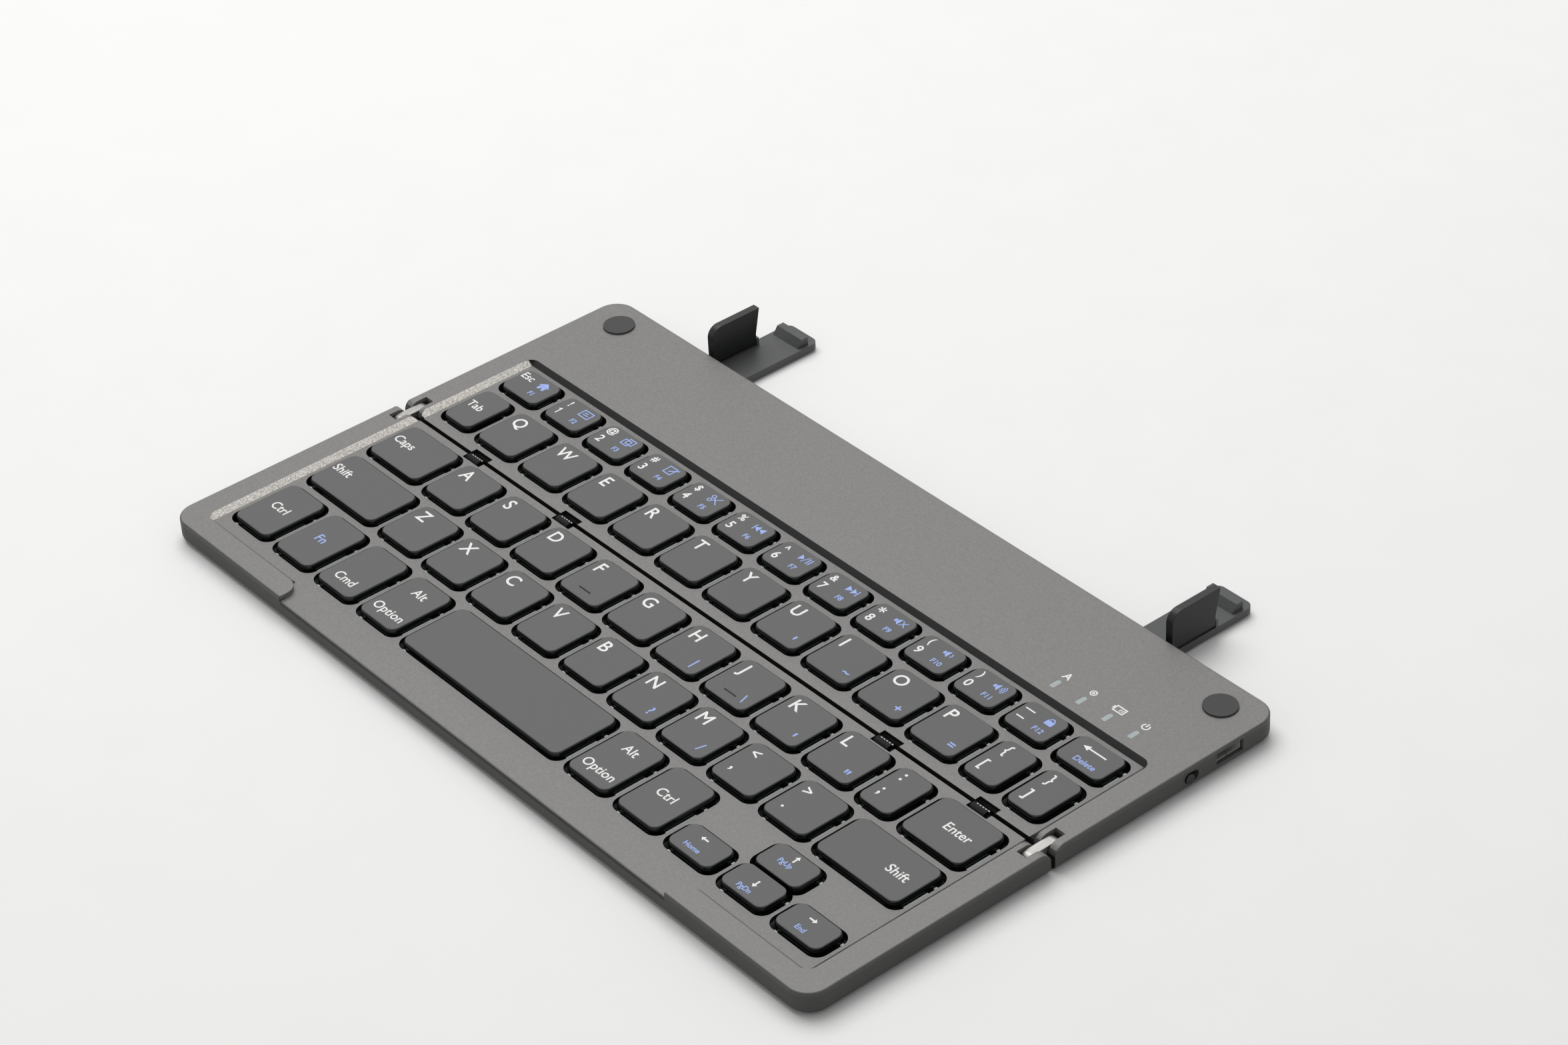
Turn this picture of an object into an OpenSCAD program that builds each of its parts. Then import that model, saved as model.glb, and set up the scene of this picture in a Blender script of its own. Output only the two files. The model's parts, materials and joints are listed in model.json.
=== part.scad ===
// Folding keyboard, open, with its stand arms swung out behind.
// X runs along the fold, Y to the rear and Z up. The origin lies on the rest surface,
// in the middle of the outer box with the stand arms out. Each piece is drawn with Y
// measured from the fold line outwards, the front half mirrored, and then put in place.

/* [Body] */
// Width of the keyboard
body_w = 226.4; // [218:0.2:236]
// Depth of one half, from the fold line to its far edge
half_d = 65.9; // [63:0.1:72]
// Thickness of the closed shell of one half
body_t = 5.7; // [5.6:0.1:6.6]
// Radius of the far corners, seen from above
corner_r = 5.5; // [4:0.25:8]
// Thickness of the side walls
wall_t = 1.5; // [1.2:0.1:1.8]
// Thickness of the lower covers' floor
floor_t = 1; // [0.8:0.1:1.1]
// Thickness of the upper covers where they lap over the side walls
lip_t = 0.9; // [0.7:0.05:1]
// Rounding of the lower edge
bottom_round = 1.4; // [0.6:0.1:1.6]
// Rounding of the upper edge
top_round = 0.5; // [0.2:0.1:0.6]
// Gap between the two halves at the fold
fold_gap = 1.1; // [0.8:0.05:1.2]

/* [Key deck] */
// Depth of the key deck below the rim
deck_drop = 1.25; // [0.9:0.05:1.3]
// Thickness of the key deck
deck_t = 1; // [0.8:0.05:1.1]
// Width of the flat rim along the sides
rim_w = 6.3; // [6:0.1:7]
// Width of the sloping face between rim and deck at the sides
bevel_w = 1.4; // [1:0.05:1.7]
// Width of the sloping face between strip and deck at the rear
rear_bevel_w = 1.2; // [1:0.05:1.6]
// Width of the sloping face between front rim and deck
front_bevel_w = 1.2; // [1:0.05:1.6]
// Distance from the top of the rear sloping face to the arms' recesses
strip_lap = 0.6; // [0.4:0.05:0.7]
// Radius of the deck's rear corners
deck_corner_r = 2.5; // [1.5:0.1:3]
// Thickness of the rear strip's skin
strip_t = 1; // [0.8:0.05:1.1]
// Depth of the front rim, from its inner edge to the front edge
front_rim_d = 5.6; // [4.5:0.1:6]
// Half the width of the lowered stretch of the front edge
front_low_half = 68.9; // [60:0.5:80]
// Radius of the front rim's ends beside the lowered stretch
front_low_r = 3.5; // [2:0.25:5.2]

/* [Keys] */
// Clear deck between the outer keys and the sloping side faces
key_margin = 2.3; // [1.6:0.05:2.6]
// Clear deck between the number row and the rear sloping face
deck_margin = 2; // [1.2:0.05:2.4]
// Gap between the keys of a row
key_gap = 3.7; // [3.4:0.05:3.9]
// Gap between two rows of letter keys
row_gap = 3.4; // [3.2:0.05:3.8]
// Gap between the number keys
number_gap = 3.85; // [3.6:0.05:4.1]
// Gap between the shift row and the space bar row
space_gap = 3.65; // [3.2:0.05:3.8]
// Width of the escape key
esc_w = 12.7; // [11:0.1:14]
// Width of the delete key
delete_w = 13.3; // [11:0.1:15]
// Depth of a number key
number_d = 9.25; // [8:0.05:10]
// Width of the tab key
tab_w = 9.6; // [9:0.1:11]
// Width of each of the two bracket keys
bracket_w = 9.7; // [9:0.05:11]
// Width of the caps lock key
caps_w = 18.4; // [16:0.05:20]
// Width of the semicolon key
semicolon_w = 9.6; // [9:0.05:11]
// Width of the enter key
enter_w = 18; // [16:0.1:20]
// Width of the left shift key
shift_w = 24.8; // [22:0.05:27]
// Width of the four keys left of the space bar
modifier_w = 12.8; // [12:0.05:13.4]
// Width of the two keys right of the space bar
right_modifier_w = 13.1; // [12:0.05:13.4]
// Width of an arrow key
arrow_w = 13.35; // [12:0.05:13.6]
// Depth of the space bar row
space_d = 17.1; // [15:0.05:18]
// Gap between the up and down keys
arrow_gap = 1; // [0.8:0.05:1.2]
// Distance from the fold line to the first key row of the rear half
rear_key_start = 4.6; // [4.2:0.05:5.2]
// Distance from the fold line to the first key row of the front half
front_key_start = 3.45; // [3.4:0.05:4.4]
// Distance from the space bar row to the front edge
front_key_end = 10.9; // [10:0.1:12]
// Height of the rim above the key tops
key_sink = 0.05; // [0:0.05:0.4]
// Radius of a key's corners
key_r = 2; // [1:0.1:2.4]
// How far a key's skirt stands out from its top face
key_flare = 0.35; // [0.2:0.05:0.4]
// Height of the upper, straight part of a key
key_crown = 0.9; // [0.4:0.05:1]
// Gap between a key's top face and the edge of its well, left and right
well_side = 1.4; // [0.8:0.05:1.45]
// Gap between a key's top face and the edge of its well in front
well_front = 1.1; // [0.8:0.05:1.2]
// Gap between a key's top face and the edge of its well behind
well_back = 0.9; // [0.6:0.05:0.95]
// Thickness of a key's shell
key_wall = 0.8; // [0.6:0.05:0.9]
// How far a key travels when it is pressed
key_travel = 1.2; // [0.8:0.1:1.25]
// Gap that is left under a key's stem and shell when it is down
press_gap = 0.1; // [0.05:0.05:0.2]
// Gap that is left under a key's skirt when it is down
skirt_gap = 0.25; // [0.1:0.05:0.3]
// Radius of the stem under a key
stem_r = 1.3; // [1:0.1:1.4]
// Thickness of the rubber dome sheets
sheet_t = 0.9; // [0.6:0.05:0.95]
// Radius of the opening in a rubber collar
collar_bore_r = 1.5; // [1.45:0.05:1.8]
// Wall of a rubber collar
collar_wall = 1.1; // [0.6:0.1:1.2]
// Gap between a dome sheet and the pockets of the hinge barrels
sheet_gap = 0.3; // [0.1:0.05:0.5]

/* [Fold hinge] */
// Distance of each hinge pin from the fold line
pivot_y = 3.1; // [3.1:0.05:3.3]
// Depth of the hinge pins below the rim
pivot_drop = 2.6; // [2.55:0.05:2.7]
// Thickness of a hinge link
link_t = 2.3; // [2:0.1:2.8]
// Radius of a hinge link's round ends
link_r = 1.9; // [1.5:0.05:1.95]
// Distance from the side wall's face to the link's slot
slot_inset = 2.2; // [2:0.1:2.6]
// Clearance on each side of a link
link_side_gap = 0.25; // [0.1:0.05:0.4]
// Clearance behind a link's round end
link_end_gap = 0.5; // [0.3:0.05:0.7]
// Diameter of the hinge pins
pin_d = 1.6; // [1.2:0.1:1.8]
// Running clearance of a pin in its bore, on the radius
pin_fit = 0.05; // [0.03:0.01:0.08]
// Thickness of the hinge block's inner cheek
cheek_t = 1.4; // [1.1:0.1:1.4]
// Length of the hinge blocks along the rim
block_d = 8.5; // [7.5:0.1:10]
// How deep a hinge pin sits in each cheek
pin_seat = 1; // [0.6:0.1:1.1]
// Distances of the two left hinge barrels from the left side face
barrels_left = [30, 64.3];
// Distances of the two right hinge barrels from the right side face
barrels_right = [51.1, 21];
// Radius of a hinge barrel
barrel_r = 1.7; // [1.3:0.05:1.75]
// Length of a hinge barrel
barrel_len = 4.4; // [3.5:0.1:4.8]
// Width of the cut-out around a barrel
barrel_cut_w = 6.3; // [6:0.1:7]
// Depth of the cut-out on each side of the fold line
barrel_cut_d = 2.1; // [1.9:0.05:2.15]
// Wall between a cut-out and the inside of the half
pocket_wall = 0.6; // [0.4:0.05:0.65]
// Gap between a barrel and the side of its cut-out
barrel_side_gap = 0.3; // [0.2:0.05:0.4]
// Distance of the barrels from the fold line, towards the front
barrel_off = 0.35; // [0.3:0.05:0.4]

/* [Stand] */
// Distance of an arm's outer edge from the side face
arm_side = 33.7; // [31.5:0.1:36]
// Width of a stand arm
arm_w = 11.2; // [10.5:0.1:12.5]
// Length of an arm from its pin to its tip
arm_len = 28.5; // [26:0.1:30]
// Thickness of an arm
arm_t = 1.8; // [1.4:0.05:1.85]
// Distance of the arm pin from the rear edge
arm_pin_inset = 2.2; // [2.15:0.05:2.4]
// Radius of an arm's knuckle
knuckle_r = 1.9; // [1.9:0.01:1.95]
// Clearance around an arm in its recess
arm_gap = 0.2; // [0.1:0.05:0.3]
// Clearance above the knuckle and below the swung-out arm
arm_lift = 0.1; // [0.05:0.01:0.15]
// Thickness of a fin
fin_t = 2; // [1.6:0.05:2]
// Length of a fin's top edge
fin_len = 14.7; // [12:0.1:15.2]
// Height of a fin above the rest surface
fin_top = 12.7; // [9:0.1:13]
// Gap between the keyboard's rear edge and a fin
fin_gap = 1; // [1:0.05:1.4]
// How much shorter the fin's root is than its top edge
fin_undercut = 1.4; // [0.6:0.1:2]
// Height of the fin's short rear edge above its arm
fin_heel_h = 3.4; // [2.6:0.1:4]
// Radius of a fin's front corner
fin_r = 3; // [1:0.1:4]
// Radius of the stubs that a fin turns on
stub_r = 0.5; // [0.4:0.05:0.6]
// Thickness of the ears that hold a fin's stubs
ear_t = 0.7; // [0.5:0.05:0.75]
// Gap between a fin's root and its ears
ear_gap = 0.1; // [0.05:0.01:0.12]
// Distance from the fin's rear corner to the heel
rest_slot = 4.6; // [4.3:0.1:5]
// Height of the heel that stops what leans on the stand
heel_h = 2; // [1:0.1:2]
// Length of the heel at its foot
heel_d = 3.4; // [2.5:0.1:4]
// Distance of the heel's ends from the arm's edges
heel_inset = 1; // [0.5:0.1:2]
// Radius of the arm's tip corners
arm_tip_r = 2; // [1:0.1:2.5]
// Lean of the heel's face, from upright
heel_lean = 37; // [20:1:40]
// Thickness of the recess roof
roof_t = 0.4; // [0.3:0.05:0.45]
// Thickness of the recess walls
recess_wall = 0.9; // [0.7:0.05:1]

/* [Strip, sockets and inner pieces] */
// Radius of the round pads on the rear strip
pad_r = 3.95; // [3:0.05:4.5]
// How far the pads stand out
pad_rise = 0.45; // [0.2:0.05:0.46]
// How deep the pads are let in
pad_seat = 0.5; // [0.3:0.05:0.6]
// Distance of the pads from the side faces
pad_side = 10.1; // [9:0.1:12]
// Distance of the pads from the rear edge
pad_rear = 7.9; // [6:0.1:9]
// Distance of the last indicator window from the side face
window_side = 15.95; // [14:0.05:18]
// Distance from one indicator window to the next
window_pitch = 7.95; // [6:0.05:8.2]
// Number of indicator windows
window_count = 4; // [2:1:4]
// Width of an indicator window
window_w = 1.35; // [1:0.05:2]
// Length of an indicator window
window_len = 2.95; // [2.4:0.05:4]
// Distance of the windows from the rear sloping face
window_off = 2.45; // [1.5:0.05:3]
// Width of the bar that joins the windows under the skin
guide_w = 2.4; // [2:0.1:2.6]
// How far that bar runs past the outer windows
guide_end = 1.6; // [1:0.1:2.5]
// Width of the charging socket's opening
socket_w = 7.8; // [7.6:0.1:9]
// Height of the charging socket's opening
socket_h = 2.9; // [2.8:0.05:3]
// Distance of the charging socket from the rear edge
socket_rear = 15.2; // [13:0.1:16]
// Width of the socket's metal shell
shell_w = 7.5; // [7:0.1:7.5]
// Height of the socket's metal shell
shell_h = 2.5; // [2.2:0.05:2.55]
// Length of the socket's metal shell
shell_len = 5.4; // [4:0.1:6]
// Thickness of the socket's metal shell
shell_t = 0.25; // [0.2:0.05:0.35]
// Depth of the shell's mouth below the side face
shell_sink = 0.8; // [0.3:0.1:1]
// Width of the tongue in the socket
tongue_w = 5; // [4:0.1:6]
// Thickness of the tongue in the socket
tongue_t = 0.5; // [0.4:0.05:0.7]
// Depth of the tongue's end behind the shell's mouth
tongue_sink = 0.6; // [0.3:0.1:1.5]
// Distance of the power switch from the rear edge
switch_rear = 26.4; // [25:0.1:27]
// Height of the power switch above the shell's underside
switch_up = 2.9; // [2.6:0.05:3.1]
// Travel of the power switch
switch_travel = 1.5; // [1:0.1:1.6]
// Radius of the power switch's knob
switch_r = 1.2; // [0.8:0.05:1.25]
// How far the power switch's knob stands out of the side face
switch_out = 0.4; // [0.2:0.1:0.6]
// Thickness of the plate behind the power switch's knob
switch_plate_t = 0.9; // [0.6:0.05:1]
// Height of the plate behind the power switch's knob
switch_plate_h = 2.6; // [2.5:0.05:2.8]
// Length of the plate behind the power switch's knob
switch_plate_len = 5.8; // [5.6:0.1:6.4]
// Clearance around the power switch's knob
switch_gap = 0.1; // [0.06:0.02:0.2]
// Thickness of the circuit board
board_t = 0.8; // [0.6:0.05:1]
// Width of the circuit board
board_w = 28; // [20:0.5:28.5]
// Depth of the circuit board
board_d = 23.5; // [20:0.25:24]
// Distance of the circuit board from the stand arm's recess
board_off = 1.1; // [0.5:0.1:2]
// Distance from the circuit board's near edge to the middle of the charging socket
board_front = 15.3; // [14:0.1:16]
// Radius of the posts under the circuit board
post_r = 1.2; // [0.8:0.1:1.6]
// Distance of the posts from the circuit board's edges
post_inset = 2; // [1.6:0.1:3]
// Height of the battery
battery_t = 3.3; // [2.5:0.05:3.5]
// Width of the battery
battery_w = 84; // [60:1:96]
// Depth of the battery
battery_d = 20; // [14:0.5:22]
// Distance of the battery from the rear wall
battery_rear = 4; // [2:0.5:5]
// Height of the rubber feet below the shell
foot_h = 0.5; // [0.4:0.05:0.6]
// Radius of the rubber feet
foot_r = 4; // [3:0.1:5]
// How deep the rubber feet are let in
foot_seat = 0.3; // [0.2:0.05:0.4]
// Distance of the feet from the side faces
foot_side = 14; // [12:0.5:18]
// Distance of the feet from the far edges
foot_far = 8; // [7:0.25:10]
// Distance of the inner feet from the fold line
foot_near = 12; // [8:0.5:16]
// Diameter of the screws' thread
screw_d = 1.6; // [1.2:0.1:1.8]
// Diameter of the screws' heads
screw_head_d = 3; // [2.4:0.1:3.2]
// Length of the screws
screw_len = 3.6; // [3:0.1:3.8]
// Room past a screw's end
screw_room = 0.2; // [0.1:0.1:0.4]
// Width of the cross in a screw's head
cross_w = 0.3; // [0.2:0.05:0.4]
// Depth of the cross in a screw's head
cross_t = 0.4; // [0.2:0.05:0.5]
// Distance of the outer screws from the side faces
screw_side = 21.2; // [20:0.1:23]
// Distance of the outer screws from the rear edge
screw_rear = 4.2; // [4:0.1:5]
// Distance of the inner rear screws from the rear edge
inner_screw_rear = 6.2; // [4:0.1:8]
// Distance of the inner rear screws from the arms' recess walls
inner_screw_side = 9.2; // [8:0.1:12]
// Distance of the near screws from the arms' recess walls
near_screw_side = 5.2; // [3:0.1:8]
// Distance of the near screws from the rear sloping face
near_screw_off = 5; // [3:0.1:8]
// Wall of the screw bosses around the thread
boss_wall = 1; // [0.7:0.1:1.2]
// Clearance between pieces that are fitted into each other
fit = 0.05; // [0.03:0.01:0.08]

/* [Hidden] */
$fn = 48;
// Overrun of a cutting shape past the face that it cuts
cut = 1;
half_w = body_w / 2;

// Heights
z_bottom = foot_h;
z_floor = z_bottom + floor_t;
z_top = z_bottom + body_t;
z_lip = z_top - lip_t;
z_deck = z_top - deck_drop;
z_deck_under = z_deck - deck_t;
z_strip_under = z_top - strip_t;
z_key = z_top - key_sink;
z_sheet = z_floor + sheet_t;
z_pivot = z_top - pivot_drop;

// Rim and deck
y_near = fold_gap / 2;
rim_x = half_w - rim_w;
deck_x = rim_x - bevel_w;
arm_y = half_d - arm_pin_inset;
recess_y = arm_y - arm_len - 2 * arm_gap;
strip_y = recess_y - strip_lap;
deck_depth = strip_y - rear_bevel_w;
front_rim_y = half_d - front_rim_d;
front_deck_y = front_rim_y - front_bevel_w;

// Keys: each is [name, left edge, near edge, width, depth], seen from above
block_w = 2 * (deck_x - key_margin);
number_w = (block_w - esc_w - delete_w - 12 * number_gap) / 11;
upper_letter_w = (block_w - tab_w - 2 * bracket_w - 12 * key_gap) / 10;
letter_w = (block_w - caps_w - semicolon_w - enter_w - 11 * key_gap) / 9;
right_shift_w = block_w - shift_w - 9 * letter_w - 10 * key_gap;
space_w = block_w - 4 * modifier_w - 2 * right_modifier_w - 3 * arrow_w - 9 * key_gap;
upper_letter_d = deck_depth - deck_margin - number_d - row_gap - rear_key_start;
number_y = rear_key_start + upper_letter_d + row_gap;
letter_d = (half_d - front_key_end - space_d - space_gap - row_gap - front_key_start) / 2;
shift_y = front_key_start + letter_d + row_gap;
space_y = shift_y + letter_d + space_gap;
arrow_d = (space_d - arrow_gap) / 2;
down_y = space_y + arrow_d + arrow_gap;
arrows_x = block_w / 2 - 3 * arrow_w - 2 * key_gap;

function before(widths, i) = i == 0 ? 0 : widths[i - 1] + before(widths, i - 1);
function key_row(names, widths, gap, x, y, depth) = [
    for (i = [0 : len(names) - 1])
        [names[i], x + before(widths, i) + i * gap, y, widths[i], depth]
];
function same(value, count) = [for (i = [1 : count]) value];

caps_names = ["key_caps_lock", "key_a", "key_s", "key_d", "key_f", "key_g", "key_h", "key_j",
    "key_k", "key_l", "key_semicolon", "key_enter"];
shift_names = ["key_shift_left", "key_z", "key_x", "key_c", "key_v", "key_b", "key_n", "key_m",
    "key_comma", "key_period", "key_shift_right"];
space_names = ["key_ctrl_left", "key_fn", "key_cmd", "key_alt_left", "key_space",
    "key_alt_right", "key_ctrl_right"];
number_keys = key_row(same("number", 13), concat([esc_w], same(number_w, 11), [delete_w]),
    number_gap, -block_w / 2, number_y, number_d);
tab_keys = key_row(same("tab", 13), concat([tab_w], same(upper_letter_w, 10),
    same(bracket_w, 2)), key_gap, -block_w / 2, rear_key_start, upper_letter_d);
caps_keys = key_row(caps_names, concat([caps_w], same(letter_w, 9), [semicolon_w, enter_w]),
    key_gap, -block_w / 2, front_key_start, letter_d);
shift_keys = key_row(shift_names, concat([shift_w], same(letter_w, 9), [right_shift_w]),
    key_gap, -block_w / 2, shift_y, letter_d);
space_keys = key_row(space_names, concat(same(modifier_w, 4), [space_w],
    same(right_modifier_w, 2)), key_gap, -block_w / 2, space_y, space_d);
arrow_keys = [
    ["key_left", arrows_x, down_y, arrow_w, arrow_d],
    ["key_up", arrows_x + arrow_w + key_gap, space_y, arrow_w, arrow_d],
    ["key_down", arrows_x + arrow_w + key_gap, down_y, arrow_w, arrow_d],
    ["key_right", arrows_x + 2 * (arrow_w + key_gap), down_y, arrow_w, arrow_d]
];
rear_keys = concat(number_keys, tab_keys);
front_keys = concat(caps_keys, shift_keys, space_keys, arrow_keys);

// Fold hinge
slot_x1 = half_w - slot_inset;
slot_x0 = slot_x1 - link_t - 2 * link_side_gap;
slot_y = pivot_y + link_r + link_end_gap;
block_x0 = slot_x0 - cheek_t;
pin_r = pin_d / 2;
hinge_pin_x0 = slot_x0 - pin_seat;
hinge_pin_x1 = slot_x1 + pin_seat;
rim_end_r = pivot_drop;
z_barrel = z_deck - barrel_r;
barrel_x = concat([for (d = barrels_left) d - half_w], [for (d = barrels_right) half_w - d]);

// Stand
arm_outer_x = half_w - arm_side;
arm_inner_x = arm_outer_x - arm_w;
z_arm_pin = z_bottom + arm_lift + knuckle_r;
z_arm = z_arm_pin - knuckle_r;
z_arm_top = z_arm + arm_t;
z_roof = z_arm_pin + knuckle_r + arm_lift;
recess_x = arm_inner_x - arm_gap - recess_wall;
fin_y = half_d + fin_gap;
fin_end_y = fin_y + fin_len;
fin_root_end_y = fin_end_y - fin_undercut;
fin_turn_r = fin_t / 2;
fin_x = arm_outer_x - fin_turn_r;
z_fin = z_arm_top + fin_turn_r + fit;
z_undercut = z_arm_top + fin_heel_h;
heel_y = fin_end_y + rest_slot;

// Distance of the origin behind the fold line
middle_y = (arm_y + arm_len - half_d) / 2;

// Strip, sockets and inner pieces
inner_x = half_w - wall_t;
inner_y = half_d - wall_t;
strip_hollow_y = recess_y - recess_wall - fit;
window_x = half_w - window_side - (window_count - 1) * window_pitch;
window_y = strip_y + window_off + window_len / 2;
z_guide = z_roof + roof_t;
socket_y = half_d - socket_rear;
z_socket = z_lip - socket_h / 2;
board_x0 = arm_outer_x + arm_gap + recess_wall + board_off;
board_y0 = socket_y - board_front;
z_shell = z_socket - shell_h / 2;
z_board = z_shell - board_t;
switch_y = half_d - switch_rear;
z_switch = z_bottom + switch_up;
screw_places = [[recess_x - inner_screw_side, half_d - inner_screw_rear],
    [recess_x - near_screw_side, strip_y + near_screw_off],
    [half_w - screw_side, half_d - screw_rear]];
boss_r = screw_d / 2 + boss_wall;

// Moves what is drawn from the fold line to its place in the part's frame
module placed() {
    translate([0, -middle_y, 0]) children();
}

// A rectangle with its two far corners rounded
module far_rounded(x, y0, y1, r) {
    translate([-x, y0]) square([2 * x, y1 - y0 - r]);
    translate([-x + r, y0]) square([2 * (x - r), y1 - y0]);
    for (side = [-1, 1]) translate([side * (x - r), y1 - r]) circle(r);
}

// A rectangle with all four corners rounded, its near left corner at the origin
module rounded(w, d, r) {
    translate([r, 0]) square([w - 2 * r, d]);
    translate([0, r]) square([w, d - 2 * r]);
    for (x = [r, w - r], y = [r, d - r]) translate([x, y]) circle(r);
}

// The quarter disc that rounds an edge over, outwards and downwards
module quarter_disc(r) {
    intersection() {
        circle(r);
        translate([0, -r]) square(r);
    }
}

// A slab of one half's outline with its lower outer edge rounded over
module edged_slab(height, r) {
    straight = half_d - corner_r - y_near;
    translate([0, 0, r]) linear_extrude(height - r) far_rounded(half_w, y_near, half_d, corner_r);
    linear_extrude(r) far_rounded(half_w - r, y_near, half_d - r, corner_r - r);
    for (side = [0, 1]) mirror([side, 0, 0]) {
        translate([half_w - r, half_d - corner_r, r]) rotate([90, 0, 0])
            linear_extrude(straight) quarter_disc(r);
        translate([half_w - corner_r, half_d - corner_r, r])
            rotate_extrude(angle = 90) translate([corner_r - r, 0]) quarter_disc(r);
    }
    translate([half_w - corner_r, half_d - r, r]) rotate([90, 0, -90])
        linear_extrude(body_w - 2 * corner_r) mirror([1, 0]) quarter_disc(r);
}

// Everything above the pins at the ends of the rims is cut back to a circle about the pin
module rim_end_cut() {
    for (side = [0, 1]) mirror([side, 0, 0])
        translate([deck_x, 0, 0]) difference() {
            translate([0, -cut, z_pivot]) cube([half_w, pivot_y + cut, body_t]);
            translate([-cut, pivot_y, z_pivot]) rotate([0, 90, 0])
                cylinder(h = half_w + 2 * cut, r = rim_end_r);
        }
}

// Slots for the two hinge links, open above and towards the fold
module link_slots() {
    for (side = [0, 1]) mirror([side, 0, 0])
        translate([slot_x0, -cut, z_floor])
            cube([slot_x1 - slot_x0, slot_y + cut, body_t]);
}

// Seats of the hinge pins in the cheeks
module pin_seats() {
    for (side = [0, 1]) mirror([side, 0, 0])
        translate([hinge_pin_x0, pivot_y, z_pivot]) rotate([0, 90, 0])
            cylinder(h = hinge_pin_x1 - hinge_pin_x0, r = pin_r);
}

// Cut-outs for the hinge barrels
module barrel_cuts() {
    for (x = barrel_x)
        translate([x - barrel_cut_w / 2, -cut, z_floor])
            cube([barrel_cut_w, barrel_cut_d + cut, body_t]);
}

// Pocket walls that close the barrel cut-outs off from the inside
module barrel_pockets() {
    for (x = barrel_x)
        translate([x - barrel_cut_w / 2 - pocket_wall, y_near, z_floor])
            cube([barrel_cut_w + 2 * pocket_wall, barrel_cut_d + pocket_wall - y_near,
                z_deck_under - z_floor]);
}

// Wells of a set of keys, cut through the deck
module key_wells(keys, near, far) {
    for (key = keys)
        translate([key[1] - well_side, key[2] - near, z_deck_under - cut])
            linear_extrude(deck_t + 2 * cut)
                rounded(key[3] + 2 * well_side, key[4] + near + far, key_r + well_back);
}

// The sunk deck: its side faces and far face slope outwards to the rim
module deck_well(foot_y, slope_y) {
    rise = (deck_drop + cut) / deck_drop;
    intersection() {
        rotate([90, 0, 0]) translate([0, 0, -body_w]) linear_extrude(2 * body_w)
            polygon([[-deck_x, z_deck], [deck_x, z_deck],
                [deck_x + rise * bevel_w, z_top + cut], [-deck_x - rise * bevel_w, z_top + cut]]);
        rotate([90, 0, 90]) translate([0, 0, -half_w]) linear_extrude(body_w)
            polygon([[-cut, z_deck], [foot_y, z_deck],
                [foot_y + rise * slope_y, z_top + cut], [-cut, z_top + cut]]);
        linear_extrude(z_top + 2 * cut)
            far_rounded(rim_x, -2 * cut, foot_y + slope_y, deck_corner_r);
    }
}

// Holes of the lower cover's screws in a set of places
module at_screws() {
    for (side = [-1, 1], place = screw_places)
        translate([side * place[0], place[1], 0]) children();
}

// Places of the four rubber feet of one half
module at_feet() {
    for (side = [-1, 1], y = [foot_near, half_d - foot_far])
        translate([side * (half_w - foot_side), y, 0]) children();
}

// Upper cover blank of one half: the lip over the walls and the body between them
module top_blank() {
    translate([0, 0, z_top]) mirror([0, 0, 1]) edged_slab(lip_t, top_round);
    translate([0, 0, z_deck_under]) linear_extrude(z_lip - z_deck_under) difference() {
        far_rounded(inner_x - fit, y_near, inner_y - fit, corner_r - wall_t - fit);
        for (side = [0, 1]) mirror([side, 0])
            translate([block_x0 - fit, -cut]) square([half_w, block_d + fit + cut]);
    }
}

// Windows in the rear strip's skin, grown by a clearance
module window_shapes(grow) {
    for (i = [0 : window_count - 1])
        translate([window_x + i * window_pitch, window_y]) {
            translate([-window_w / 2 - grow, -window_len / 2 - grow])
                square([window_w + 2 * grow, window_len - window_w / 2 + grow]);
            translate([0, window_len / 2 - window_w / 2]) circle(window_w / 2 + grow);
        }
}

module rear_top_cover() {
    color("#868684") difference() {
        union() {
            difference() {
                top_blank();
                translate([0, 0, z_deck_under - cut])
                    linear_extrude(z_strip_under - z_deck_under + cut) difference() {
                        translate([-inner_x + wall_t, strip_hollow_y])
                            square([2 * (inner_x - wall_t), inner_y - wall_t - strip_hollow_y]);
                    }
            }
            at_screws() translate([0, 0, z_floor]) cylinder(h = z_top - z_floor - cut / 4, r = boss_r);
        }
        deck_well(deck_depth, rear_bevel_w);
        key_wells(rear_keys, well_front, well_back);
        link_slots();
        rim_end_cut();
        barrel_cuts();
        translate([0, 0, z_guide]) linear_extrude(body_t) window_shapes(fit);
        for (side = [-1, 1])
            translate([side * (half_w - pad_side), half_d - pad_rear, z_top - pad_seat])
                cylinder(h = pad_seat + cut, r = pad_r);
        at_screws() translate([0, 0, z_bottom]) cylinder(h = screw_len + screw_room,
            r = screw_d / 2);
        arm_recess(recess_wall + fit, roof_t + fit);
        side_cuts();
    }
}

// Room for the charging socket and the power switch under the rear half's right rim
module side_cuts() {
    switch_room = switch_plate_len / 2 + switch_travel / 2 + switch_gap;
    translate([inner_x - 2 * wall_t, socket_y - shell_w / 2 - fit, z_deck_under - cut])
        cube([3 * wall_t, shell_w + 2 * fit, z_shell + shell_h + fit - z_deck_under + cut]);
    translate([inner_x - 2 * wall_t, switch_y - switch_room, z_deck_under - cut])
        cube([3 * wall_t, 2 * switch_room,
            z_switch + switch_plate_h / 2 + switch_gap - z_deck_under + cut]);
}

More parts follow.
